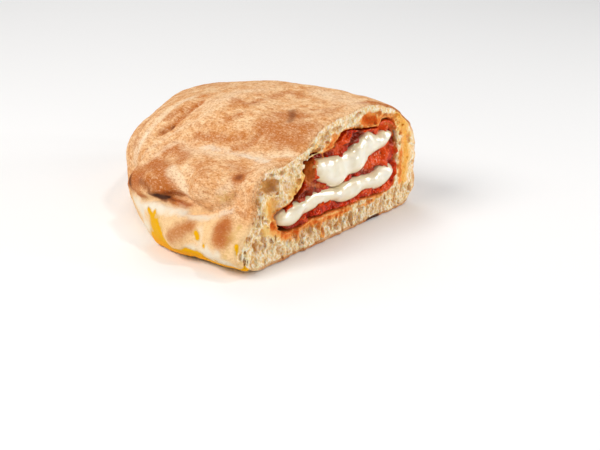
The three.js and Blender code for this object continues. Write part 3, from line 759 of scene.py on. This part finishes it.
def graded(start, stop, fine, zone, growth, coarse):
    """Sample places from start down to stop: fine over the first zone, then wider apart."""
    places = [start]
    while places[-1] > stop:
        beyond = max(0.0, start - places[-1] - zone)
        places.append(places[-1] - min(fine + growth * beyond, coarse))
    return np.array(places[::-1])


def even(start, stop, step):
    return np.arange(start, stop + step, step)


def means(index, values):
    """The mean of the rows that share an index."""
    count = np.bincount(index)
    return np.stack([np.bincount(index, values[:, i]) / count for i in range(3)], 1)


def surface_net(field, axes):
    """Vertices, quads and the vertices' cells on the zero level of a field, negative inside."""
    inside = field < 0
    cells = np.array(field.shape) - 1
    owners, crossings, quads = [], [], []
    for axis in range(3):
        low, high = [slice(None)] * 3, [slice(None)] * 3
        low[axis], high[axis] = slice(0, -1), slice(1, None)
        near = np.argwhere(inside[tuple(low)] != inside[tuple(high)])
        far = near.copy()
        far[:, axis] += 1
        value, beyond = field[tuple(near.T)], field[tuple(far.T)]
        place = np.stack([axes[i][near[:, i]] for i in range(3)], 1)
        place[:, axis] += value / (value - beyond) * (axes[axis][far[:, axis]] - place[:, axis])
        b, c = (axis + 1) % 3, (axis + 2) % 3
        corners = []
        for back_b, back_c in ((1, 1), (0, 1), (0, 0), (1, 0)):
            cell = near.copy()
            cell[:, b] -= back_b
            cell[:, c] -= back_c
            corners.append(np.ravel_multi_index(tuple(cell.T), tuple(cells)))
        quad = np.stack(corners, 1)
        quads.append(np.where((value < 0)[:, None], quad, quad[:, ::-1]))
        owners += corners
        crossings += [place] * 4
    cell_ids, index = np.unique(np.concatenate(owners), return_inverse=True)
    vertices = means(index, np.concatenate(crossings))
    faces = np.searchsorted(cell_ids, np.concatenate(quads))
    return vertices, faces, np.stack(np.unravel_index(cell_ids, tuple(cells)), 1)


def coarsen(vertices, quads, cells, block):
    """Joins the vertices of each block of cells. Quads that lose a corner become triangles."""
    keys = np.column_stack([cells // block, block])
    _, index = np.unique(keys, axis=0, return_inverse=True)
    index = index.ravel()
    quads = index[quads]
    same = quads == np.roll(quads, -1, axis=1)
    crossed = (quads[:, 0] == quads[:, 2]) | (quads[:, 1] == quads[:, 3])
    whole = quads[~crossed & ~same.any(1)]
    lost = ~crossed & (same.sum(1) == 1)
    first = (np.argmax(same[lost], axis=1)[:, None] + np.arange(1, 4)) % 4
    triangles = np.take_along_axis(quads[lost], first, axis=1)
    return means(index, vertices), unpaired(whole), unpaired(triangles)


def unpaired(faces):
    """The faces without those that lie twice on the same corners."""
    _, first, count = np.unique(np.sort(faces, 1), axis=0, return_index=True, return_counts=True)
    return faces[np.sort(first[count % 2 == 1])]


def largest_part(vertices, faces):
    """Leaves out closed bubbles and loose specks."""
    edges = [np.column_stack([each.ravel(), np.roll(each, -1, axis=1).ravel()]) for each in faces]
    edges = np.concatenate(edges)
    part = np.arange(len(vertices))
    while True:
        lowest = part[edges].min(1)
        joined = part.copy()
        np.minimum.at(joined, part[edges[:, 0]], lowest)
        np.minimum.at(joined, part[edges[:, 1]], lowest)
        while (joined != joined[joined]).any():
            joined = joined[joined]
        if (joined == part).all():
            break
        part = joined
    stays = part == np.bincount(part).argmax()
    number = np.cumsum(stays) - 1
    return vertices[stays], [number[each[stays[each[:, 0]]]] for each in faces]


def add_object(name, data):
    added = bpy.data.objects.new(name, data)
    bpy.context.scene.collection.objects.link(added)
    return added


def make_mesh(name, vertices, *faces):
    """A smooth mesh object from millimetres in the cut's frame, and arrays of its faces."""
    vertices, faces = largest_part(vertices, faces)
    mesh = bpy.data.meshes.new(name)
    sides = np.concatenate([np.full(len(part), part.shape[1]) for part in faces])
    corners = np.concatenate([part.ravel() for part in faces])
    mesh.vertices.add(len(vertices))
    mesh.vertices.foreach_set("co", in_metres(vertices))
    mesh.loops.add(len(corners))
    mesh.loops.foreach_set("vertex_index", corners.astype(np.int32))
    mesh.polygons.add(len(sides))
    mesh.polygons.foreach_set("loop_start", (np.cumsum(sides) - sides).astype(np.int32))
    mesh.polygons.foreach_set("use_smooth", np.ones(len(sides), dtype=bool))
    mesh.update(calc_edges=True)
    mesh.validate()
    return add_object(name, mesh)


def in_metres(places):
    """Places in the cut's frame as flat numbers in the part's frame."""
    return ((places + ORIGIN) * MM).astype(np.float32).ravel()


def rows(collection, name):
    """Three numbers for each vertex."""
    flat = np.empty(len(collection) * 3, dtype=np.float32)
    collection.foreach_get(name, flat)
    return flat.reshape(-1, 3).astype(float)


def read_places(piece):
    """The piece's vertices in millimetres in the cut's frame."""
    return rows(piece.data.vertices, "co") / MM - ORIGIN


def push_out(piece, amount):
    """Moves the piece's vertices along their normals."""
    places = read_places(piece) + rows(piece.data.vertex_normals, "vector") * amount[:, None]
    piece.data.vertices.foreach_set("co", in_metres(places))
    piece.data.update()


def write_mask(piece, name, values):
    layer = piece.data.attributes.new(name, "FLOAT", "POINT")
    layer.data.foreach_set("value", np.asarray(values, dtype=np.float32))


# ---- the dough


def cut_face(y, z):
    """How far the torn crumb stands out of the plane of the cut."""
    return rough(together(0.0, y, z), CUT_ROUGHNESS) - CUT_SETBACK


def scattered_pores():
    """Seeded pores in the crumb behind the cut: centre and half sizes in (x, y, z)."""
    draw = np.random.default_rng(PORE_SEED)
    count = PORES * PORE_TRIES
    x = -PORE_SPAN * draw.random(count) ** 1.4 + PORE_FRONT
    y = draw.random(count) * WIDTH
    z = draw.random(count) * CREST
    size = PORE_SIZE + PORE_GROWTH * draw.random(count) ** 2.6
    shape = draw.random((count, 2))
    form = food_form(np.zeros(count), y, z)
    room = cavity.flat_distance(y, z)
    fits = (form < -(size + PORE_ROOM)) & (room > size * 0.6)
    tall = 1 + (0.5 + 0.9 * shape[:, 0]) * ramp(z, 16, 9)
    wide = 1 + (0.4 + 0.7 * shape[:, 1]) * ramp(z, 40, 52)
    near_fold = ramp(y, 126, 136) * ramp(z, 4, 12)
    fits &= draw.random(count) > 0.85 * near_fold
    kept = np.flatnonzero(fits)[:PORES]
    centre = np.stack([x, y, z], 1)[kept]
    half = np.stack([size * 0.95, size * wide / tall**0.4, size * tall / wide**0.5], 1)[kept]
    return centre, half


def grid_part(axes, low, high):
    """The part of the grid between two corners, and its places on each axis."""
    part = tuple(
        slice(max(np.searchsorted(axis, low[i]) - 1, 0), np.searchsorted(axis, high[i]) + 1)
        for i, axis in enumerate(axes)
    )
    spans = (axis[span] for axis, span in zip(axes, part))
    return part, np.meshgrid(*spans, indexing="ij", sparse=True)


def carve(field, axes, centre, half, tilt=0.0, blend=0.35, uneven=0.0):
    """Takes an ellipsoid out of the field, with its places shifted by noise where uneven."""
    reach = max(half[1:]) + 1.5
    margin = np.array([half[0] + 1.5, reach, reach])
    part, (x, y, z) = grid_part(axes, centre - margin, centre + margin)
    if uneven > 0:
        places = together(x, y, z)
        y = y + uneven * warp[1].at(places, 4.0)
        z = z + uneven * warp[2].at(places, 4.0)
    turn = math.radians(tilt)
    across = (y - centre[1]) * math.cos(turn) + (z - centre[2]) * math.sin(turn)
    up = (z - centre[2]) * math.cos(turn) - (y - centre[1]) * math.sin(turn)
    reach = np.sqrt(((x - centre[0]) / half[0]) ** 2 + (across / half[1]) ** 2 + (up / half[2]) ** 2)
    field[part] = smooth_max(field[part], (1 - reach) * min(half), blend)


def add_strand(field, axes, start, stop, radius):
    start, stop = np.array(start), np.array(stop)
    part, spans = grid_part(axes, np.minimum(start, stop) - 2, np.maximum(start, stop) + 2)
    places = together(*spans)
    along = stop - start
    share = np.clip((places - start) @ along / (along @ along), 0, 1)
    gap = np.linalg.norm(places - start - share[..., None] * along, axis=-1)
    thinner = 1 - 0.4 * np.sin(np.pi * share)
    field[part] = smooth_min(field[part], gap - radius * thinner, 0.5)


def dough_field(axes):
    x, y, z = np.meshgrid(*(axis.astype(np.float32) for axis in axes), indexing="ij", sparse=True)
    field = food_form(x, y, z).astype(np.float32)
    face = cut_face(axes[1][:, None], axes[2][None, :]).astype(np.float32)
    field = smooth_max(field, x - face[None], np.float32(0.7))
    field = smooth_max(field, -cavity.grid_distance(axes), np.float32(0.8))
    for centre, half in zip(*scattered_pores()):
        carve(field, axes, centre, half)
    for (at_y, at_z), (half_y, half_z), depth, tilt in HOLLOWS:
        centre = np.array([HOLLOW_FRONT, at_y, at_z])
        carve(field, axes, centre, (depth, half_y, half_z), tilt, blend=0.5, uneven=1.5)
    for start, stop, radius in STRANDS:
        add_strand(field, axes, start, stop, radius)
    return field


def roughen_crust(piece):
    """Moves the crust out and in: wrinkles, creases and the thickness of the oil."""
    places = read_places(piece)
    crust = ramp(-food_form(*places.T), 1.4, 0.5) * ramp(places[:, 2], 0.1, 1.2)
    push = rough(places, CRUST_ROUGHNESS)
    wandering = places + bend(places, 1.2, 6)
    for width, depth, *path in CREASES:
        push -= depth * stroke(wandering, path, width)
    push += OIL_THICKNESS * ramp(strokes(places + bend(places, 0.8, 3), OILY_AND_SHADED), 0.35, 0.75)
    push_out(piece, push * crust)


def paint_dough(piece):
    """Masks that the dough's material reads."""
    places = read_places(piece)
    wandering = places + bend(places, 0.8, 7) + bend(places, 0.6, 2.5)
    # depth behind the cut, from which the material paints shade in the pores and hollows
    write_mask(piece, "hollow", np.clip(-places[:, 0], 0, 12))
    write_mask(piece, "height", places[:, 2])
    write_mask(piece, "flank", ramp(places[:, 2], 30, 22) * ramp(places[:, 1], 40, 26))
    for name, marks in CRUST_MARKS.items():
        write_mask(piece, name, strokes(wandering, marks))
    # the oil marks, with painted shade beside the nick
    write_mask(piece, "oil_and_shade", strokes(places + bend(places, 0.8, 3), OILY_AND_SHADED))
    on_cut = wandering * CUT_MARK_SCALE
    for name, marks in CRUMB_MARKS.items():
        write_mask(piece, name, strokes(on_cut, lifted(marks)))
    write_mask(piece, "filling", cavity.distance(*places.T))


def make_dough():
    (back, front), across, up = DOUGH_GRID
    axes = [
        graded(front, back, CUT_STEP, CUT_ZONE, STEP_GROWTH, COARSE_STEP),
        even(*across, FINE_STEP),
        even(*up, FINE_STEP),
    ]
    vertices, quads, cells = surface_net(dough_field(axes), axes)
    x, _, z = vertices.T
    inner = (x < HIDDEN_FROM) & (food_form(*vertices.T) < -HIDDEN_DEPTH)
    under = (x < CLOSE_UP) & (z < UNDERSIDE)
    block = np.ones((len(vertices), 3), dtype=int)
    block[x < CLOSE_UP] = CRUST_BLOCK
    block[inner | under] = HIDDEN_BLOCK
    piece = make_mesh("dough_baked", *coarsen(vertices, quads, cells, block))
    write_mask(piece, "skin", -food_form(*read_places(piece).T))
    roughen_crust(piece)
    paint_dough(piece)
    return piece


# ---- cheese and sauce


def cheese_field(name, axes):
    y, z = axes[1][:, None], axes[2][None, :]
    front = np.full((len(axes[1]), len(axes[2])), CHEESE_BULGE - CHEESE_SWELLING)
    for (at_y, at_z), radius, rise in CHEESE_WAVES[name]:
        front += rise * np.exp(-((y - at_y) ** 2 + (z - at_z) ** 2) / radius**2)
    front += 0.4 * lump.at(together(0.0, y, z) + 20, 6.0)
    front = smooth_min(front, CHEESE_BULGE, 0.6)
    x = axes[0][:, None, None]
    edge = np.clip(1 + cheese_slabs[name].grid_distance(axes) / CHEESE_PILLOW, 0, None)
    ahead = np.clip((x - CHEESE_BACK) / (front[None] - CHEESE_BACK), 0, None)
    reach = (edge**PILLOW_POWER + ahead**PILLOW_POWER) ** (1 / PILLOW_POWER) - 1
    return reach * CHEESE_PILLOW


def slab_axes(slab, front):
    low, high = slab.points.min(0) - 2, slab.points.max(0) + 2
    return [
        graded(front, -slab.depth - 2, FILLING_STEP, zone=5, growth=0.06, coarse=3.0 * COARSER),
        even(low[0], high[0], FILLING_STEP),
        even(low[1] - slab.sag, high[1], FILLING_STEP),
    ]


def make_cheese(name):
    slab = cheese_slabs[name]
    axes = slab_axes(slab, CHEESE_BULGE + 1)
    vertices, quads, _ = surface_net(cheese_field(name, axes), axes)
    piece = make_mesh(name, vertices, quads)
    push_out(piece, rough(read_places(piece), CHEESE_ROUGHNESS))
    places = read_places(piece)
    edge = slab.flat_distance(places[:, 1], places[:, 2])
    # distance inside the outline, which tints the edges golden and paints shade on the narrower lower
    # cheese
    write_mask(piece, "edge", np.where(places[:, 0] > CHEESE_EDGE, edge, 0))
    write_mask(piece, "browned", strokes(places + bend(places, 0.5, 3), CHEESE_BROWNED[name]))
    return piece


def sauce_front(y, z):
    """The lumpy front of the sauce in the plane of the cut."""
    front = SAUCE_FRONT + rough(together(0.0, y, z), SAUCE_ROUGHNESS)
    for at_y, at_z in SAUCE_LUMPS:
        far2 = (y - at_y) ** 2 / LUMP_HALF[0] ** 2 + (z - at_z) ** 2 / LUMP_HALF[1] ** 2
        front = front + LUMP_HEIGHT * np.exp(-far2)
    for (at_y, at_z), (half_y, half_z), depth in SAUCE_RECESSES:
        front = front - depth * np.exp(-(((y - at_y) / half_y) ** 2) - ((z - at_z) / half_z) ** 2)
    return np.minimum(front, SAUCE_LIMIT)


def make_sauce():
    """The sauce, with both cheeses taken out of it."""
    axes = slab_axes(sauce_slab, front=1.6)
    y, z = np.meshgrid(axes[1], axes[2], indexing="ij")
    climb = SAUCE_CLIMB * ramp(sauce_slab.flat_distance(y, z), -SAUCE_EDGE, 0)
    front = sauce_front(y, z) + climb
    field = smooth_max(sauce_slab.grid_distance(axes), axes[0][:, None, None] - front[None], 0.8)
    for name in cheese_slabs:
        field = smooth_max(field, -(cheese_field(name, axes) + SAUCE_OVERLAP), 0.3)
    vertices, quads, _ = surface_net(field, axes)
    piece = make_mesh("tomato_sauce_wet", vertices, quads)
    places = read_places(piece)
    # depth behind the cut, from which the material paints shade in the recesses and light on the lumps
    write_mask(piece, "sunk", -places[:, 0])
    wandering = places + bend(places, 0.8, 4)
    for name, marks in SAUCE_MARKS.items():
        write_mask(piece, name, strokes(wandering, marks))
    # where the material paints pale pink glints on the sauce
    write_mask(piece, "painted_glints", strokes(places, SAUCE_PAINTED_GLINTS))
    return piece


# ---- materials


def colour(red, green, blue):
    """A colour given as it looks on a screen, 0 to 255, as a shader's linear colour."""
    parts = [part / 255 for part in (red, green, blue)]
    return tuple(p / 12.92 if p <= 0.04045 else ((p + 0.055) / 1.055) ** 2.4 for p in parts) + (1.0,)


class Paint:
    """A material whose nodes are built by short calls."""

    def __init__(self, name):
        self.material = bpy.data.materials.new(name)
        self.material.use_nodes = True
        self.tree = self.material.node_tree
        self.shader = self.tree.nodes["Principled BSDF"]
        self.place = self.tree.nodes.new("ShaderNodeTexCoord").outputs["Object"]

    def put(self, value, socket):
        if isinstance(value, bpy.types.NodeSocket):
            self.tree.links.new(value, socket)
        else:
            socket.default_value = value

    def node(self, kind, output, inputs, **settings):
        """The output of a new node, whose inputs are given by name or number."""
        node = self.tree.nodes.new("ShaderNode" + kind)
        for name, value in settings.items():
            setattr(node, name, value)
        for key, value in inputs.items():
            self.put(value, node.inputs[key])
        return node.outputs[output]

    def mask(self, name):
        return self.node("Attribute", "Fac", {}, attribute_name=name)

    def stretched(self, stretch):
        if stretch is None:
            return self.place
        return self.node("Mapping", "Vector", {"Vector": self.place, "Scale": stretch})

    def noise(self, size, detail=3.0, rough=0.55, stretch=None):
        """Noise whose lumps are about `size` millimetres."""
        inputs = {"Scale": 1 / (size * MM), "Detail": detail, "Roughness": rough}
        return self.node("TexNoise", "Fac", {"Vector": self.stretched(stretch), **inputs})

    def cells(self, size, stretch=None):
        inputs = {"Vector": self.stretched(stretch), "Scale": 1 / (size * MM)}
        return self.node("TexVoronoi", "Distance", inputs)

    def ramp(self, value, start, stop, most=1.0, least=0.0):
        """From least to most while the value goes from start to stop, smooth between."""
        inputs = {"Value": value, "From Min": start, "From Max": stop, "To Min": least, "To Max": most}
        return self.node("MapRange", "Result", inputs, interpolation_type="SMOOTHSTEP")

    def math(self, operation, a, b):
        return self.node("Math", 0, {0: a, 1: b}, operation=operation)

    def add(self, a, b):
        return self.math("ADD", a, b)

    def times(self, a, b):
        return self.math("MULTIPLY", a, b)

    def mark(self, name, wander, share=1.0):
        """A mask with an uneven edge."""
        return self.add(self.mask(name), self.times(wander, share))

    def mix(self, share, a, b):
        return self.node("Mix", 2, {0: share, 6: a, 7: b}, data_type="RGBA")

    def cover(self, base, layers):
        """Lays tones over the base: each has a share, or a value and the limits of its ramp."""
        for tone, value, *limits in layers:
            share = self.ramp(value, *limits) if limits else value
            base = self.mix(share, base, colour(*tone))
        return base

    def relief(self, bumps):
        """Shading relief from heights, their distance in millimetres and their strength."""
        before = {}
        for height, distance, strength in bumps:
            inputs = {"Height": height, "Distance": distance * MM, "Strength": strength}
            before = {"Normal": self.node("Bump", "Normal", {**inputs, **before})}
        return before["Normal"]

    def finish(self, **inputs):
        for name, value in inputs.items():
            self.put(value, self.shader.inputs[name.replace("_", " ")])
        return self.material


def crust_colour(paint):
    """Tan crust with brown, pale, floured, burnt and oily places, and painted shade in some creases and
    beside the nick.
    """
    patches = paint.noise(8, 5, 0.7)
    streaks = paint.noise(2.2, 4, 0.7, (0.4, 1, 1))
    grain = paint.noise(0.9, 4, 0.75, (0.6, 1, 1))
    wander = paint.times(paint.add(paint.noise(2.2, 5, 0.75), -0.5), 0.8)
    height = paint.mask("height")
    flank = paint.mask("flank")
    calm = paint.ramp(flank, 0.0, 1.0, 0.45, 1.0)
    toast_and_crease_shade = paint.mark("toast_and_crease_shade", wander)
    burnt = paint.mark("burnt", wander, 0.5)
    oil_and_shade = paint.mark("oil_and_shade", wander, 0.8)
    base = paint.mix(paint.ramp(patches, 0.36, 0.64), colour(241, 200, 152), colour(221, 158, 98))
    layers = [
        ((192, 118, 62), streaks, 0.5, 0.62, 0.5),
        ((252, 220, 180), streaks, 0.46, 0.36, 0.42),
        ((236, 200, 146), height, 22, 6, 0.45),
        ((240, 202, 150), flank),
        # toast, which along the creases is also painted crease shade
        ((182, 98, 30), toast_and_crease_shade, 0.05, 1.05, 0.85),
        ((246, 220, 184), paint.mark("pale", wander, 0.8), 0.1, 1.0, 0.8),
        ((162, 82, 26), paint.times(paint.ramp(grain, 0.49, 0.66, 0.6), calm)),
        ((255, 230, 194), paint.times(paint.ramp(grain, 0.48, 0.34, 0.42), calm)),
        ((168, 72, 18), toast_and_crease_shade, 0.9, 1.7, 0.75),
        ((236, 230, 214), paint.mark("flour", wander, 0.6), 0.2, 1.0, 0.9),
        ((132, 72, 38), burnt, 0.1, 0.6, 0.8),
        ((60, 36, 30), burnt, 0.5, 1.0, 0.92),
        # olive-golden halo of the oil, which beside the nick is painted shade
        ((212, 172, 92), oil_and_shade, 0.04, 0.34, 0.6),
    ]
    oil_colour = paint.mix(paint.ramp(height, 9, 3), colour(230, 170, 0), colour(246, 168, 0))
    return paint.mix(paint.ramp(oil_and_shade, 0.3, 0.5), paint.cover(base, layers), oil_colour)


def soaked(amount, pale, deep):
    """Layers for a soaked place: a pale tone first, a deep one where most has soaked in."""
    return [(pale, amount, 0.1, 0.5, 0.9), (deep, amount, 0.4, 0.95, 0.95)]


def crumb_colour(paint, foam):
    """Cream crumb, stained beside the filling, with painted shade in its small pores and deeper in its
    hollows, and painted highlights on the walls between the pores.
    """
    cloud = paint.noise(4, 4, 0.65)
    wander = paint.times(paint.add(cloud, -0.5), 0.9)
    beside = paint.add(paint.ramp(paint.mask("filling"), 1.6, 0.1), wander)
    beside = paint.math("SUBTRACT", beside, paint.mask("clean"))
    base = paint.mix(paint.ramp(cloud, 0.35, 0.65), colour(246, 221, 174), colour(234, 192, 128))
    layers = [
        # painted shade in the small pores, and painted highlights on the walls between them
        ((210, 152, 82), foam, 0.42, 0.1, 0.4),
        ((255, 248, 236), foam, 0.48, 0.72, 0.6),
        # painted shade: browner the deeper the crumb lies behind the cut
        ((208, 142, 62), paint.mask("hollow"), 1.2, 3.8, 0.84),
        *soaked(paint.mark("fat", wander), (251, 206, 130), (247, 176, 74)),
        *soaked(paint.mark("sauce", wander), (242, 166, 80), (236, 114, 32)),
        *soaked(beside, (240, 172, 96), (222, 112, 40)),
    ]
    return paint.cover(base, layers)


def dough_material():
    paint = Paint("dough_crust_and_crumb")
    edge = paint.add(paint.mask("skin"), paint.times(paint.noise(3), 0.5))
    crumb = paint.ramp(paint.math("SUBTRACT", edge, paint.mask("torn")), 0.75, 1.35)
    foam = paint.cells(1.05, (1, 1, 0.75))
    oil_and_shade = paint.ramp(paint.mask("oil_and_shade"), 0.35, 0.6, 0.35)
    wet = paint.math("MAXIMUM", oil_and_shade, paint.times(crumb, paint.mask("fat")))
    gloss = paint.math("MAXIMUM", wet, paint.times(crumb, 0.45))
    bumps = [
        (paint.noise(0.9, 4, 0.7), 0.45, 0.75),
        (paint.noise(2.0, 4, 0.65, (0.5, 1, 1)), 0.6, 0.45),
        (paint.noise(5, 3, 0.55), 0.8, 0.35),
        (paint.times(foam, crumb), 0.8, 0.55),
    ]
    return paint.finish(
        Base_Color=paint.mix(crumb, crust_colour(paint), crumb_colour(paint, foam)),
        Roughness=paint.ramp(gloss, 0.1, 0.9, 0.25, 0.75),
        IOR=1.3,
        Specular_IOR_Level=0.4,
        Specular_Tint=(1.0, 0.76, 0.46, 1.0),
        Normal=paint.relief(bumps),
        Subsurface_Weight=paint.ramp(crumb, 0, 1, 0.5, 0.05),
        Subsurface_Radius=(1.0, 0.7, 0.45),
        Subsurface_Scale=0.0028,
    )


def cheese_material():
    paint = Paint("mozzarella_melted")
    cloud = paint.noise(7, 3, 0.5)
    base = paint.mix(paint.ramp(cloud, 0.35, 0.65), colour(240, 234, 216), colour(232, 222, 196))
    layers = [
        # golden tone towards the thin edges; on the narrower lower cheese it reaches over most of the
        # front as painted shade
        ((226, 202, 150), paint.mask("edge"), -4.6, -0.4, 0.7),
        ((206, 136, 40), paint.mark("browned", cloud, 0.2), 0.3, 0.95, 0.9),
    ]
    normal = paint.relief([(paint.noise(4.0, 3, 0.5), 0.5, 0.2)])
    return paint.finish(
        Base_Color=paint.cover(base, layers),
        Roughness=0.35,
        Specular_IOR_Level=0.3,
        Normal=normal,
        Subsurface_Weight=0.35,
        Subsurface_Radius=(1.0, 0.8, 0.5),
        Subsurface_Scale=0.002,
        Coat_Weight=1.0,
        Coat_Roughness=0.12,
        Coat_IOR=1.6,
        Coat_Normal=normal,
    )


def sauce_material():
    paint = Paint("tomato_sauce_wet")
    pulp = paint.noise(2.0, 4, 0.7)
    bits = paint.cells(1.5)
    sunk = paint.mask("sunk")
    glint_specks = paint.ramp(paint.noise(1.3, 2, 0.5, (1, 1.8, 1)), 0.6, 0.66, 0.8)
    base = paint.mix(paint.ramp(pulp, 0.38, 0.62), colour(146, 10, 0), colour(216, 46, 0))
    layers = [
        ((240, 108, 22), bits, 0.3, 0.05, 0.6),
        # painted light and shade: orange on the tops of the lumps, deep red where the sauce lies further
        # behind the cut
        ((240, 86, 8), sunk, 0.8, -0.4, 0.6),
        ((112, 8, 0), sunk, 1.2, 2.6, 0.85),
        ((236, 82, 14), paint.mask("bright"), 0.2, 0.9, 0.7),
        # painted shade in the slits and shaded places of the sauce
        ((96, 24, 4), paint.mark("dark", pulp, 0.2), 0.35, 1.0, 0.85),
        # brown-orange: a stained tone together with painted shade by the pocket's walls
        ((194, 100, 34), paint.mark("amber", pulp, 0.4), 0.4, 1.1, 0.9),
        ((60, 40, 20), paint.noise(1.6, 1, 0.4), 0.7, 0.74, 0.8),  # herbs
        # painted glints: pale pink specks that stand in for highlights
        ((252, 196, 164), paint.times(glint_specks, paint.ramp(paint.mask("painted_glints"), 0.2, 0.8))),
    ]
    return paint.finish(
        Base_Color=paint.cover(base, layers),
        Roughness=0.12,
        Specular_IOR_Level=0.42,
        Specular_Tint=(1.0, 0.36, 0.16, 1.0),
        Normal=paint.relief([(pulp, 0.8, 0.7), (bits, 0.7, 0.7)]),
        Subsurface_Weight=0.08,
        Subsurface_Radius=(1.0, 0.2, 0.1),
        Subsurface_Scale=0.0015,
    )


# ---- stage, lights and camera


def make_camera():
    data = bpy.data.cameras.new("camera")
    data.sensor_width = 36.0
    data.sensor_fit = "HORIZONTAL"
    data.lens = CAMERA_LENS
    data.clip_start, data.clip_end = 0.01, 50.0
    camera = add_object("camera", data)
    camera.location = CAMERA_PLACE
    camera.rotation_euler = (math.radians(90 - CAMERA_ELEVATION), 0, math.radians(CAMERA_AZIMUTH))
    bpy.context.scene.camera = camera


def make_floor():
    mesh = bpy.data.meshes.new("floor")
    sides = ((-1, -1), (1, -1), (1, 1), (-1, 1))
    corners = [(x * FLOOR_HALF, y * FLOOR_HALF, -FLOOR_DROP) for x, y in sides]
    mesh.from_pydata(corners, [], [(0, 1, 2, 3)])
    floor = add_object("floor", mesh)
    paint = Paint("floor_pale")
    floor.data.materials.append(paint.finish(Base_Color=(0.93, 0.93, 0.93, 1.0), Roughness=0.7))


def make_light(name, place, size, power, tint):
    data = bpy.data.lights.new(name, "AREA")
    data.size = size
    data.energy = power
    data.color = tint
    light = add_object(name, data)
    light.location = place
    aim = Vector(LIGHT_AIM) - Vector(place)
    light.rotation_euler = aim.to_track_quat("-Z", "Y").to_euler()


def make_world():
    world = bpy.data.worlds.new("studio")
    world.use_nodes = True
    background = world.node_tree.nodes["Background"]
    background.inputs["Color"].default_value = (*WHITE, 1.0)
    background.inputs["Strength"].default_value = WORLD_STRENGTH
    bpy.context.scene.world = world
    bpy.context.scene.view_settings.view_transform = "Standard"


# ---- the model


def dress(piece, material, node):
    piece.data.materials.clear()
    piece.data.materials.append(material)
    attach(piece, "root")
    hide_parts(node)


make_camera()
make_floor()
for light in LIGHTS:
    make_light(*light)
make_world()
dress(make_dough(), dough_material(), "dough")
dress(make_sauce(), sauce_material(), "tomato_sauce")
cheese = cheese_material()
dress(make_cheese("cheese_upper"), cheese, "mozzarella_upper")
dress(make_cheese("cheese_lower"), cheese, "mozzarella_lower")
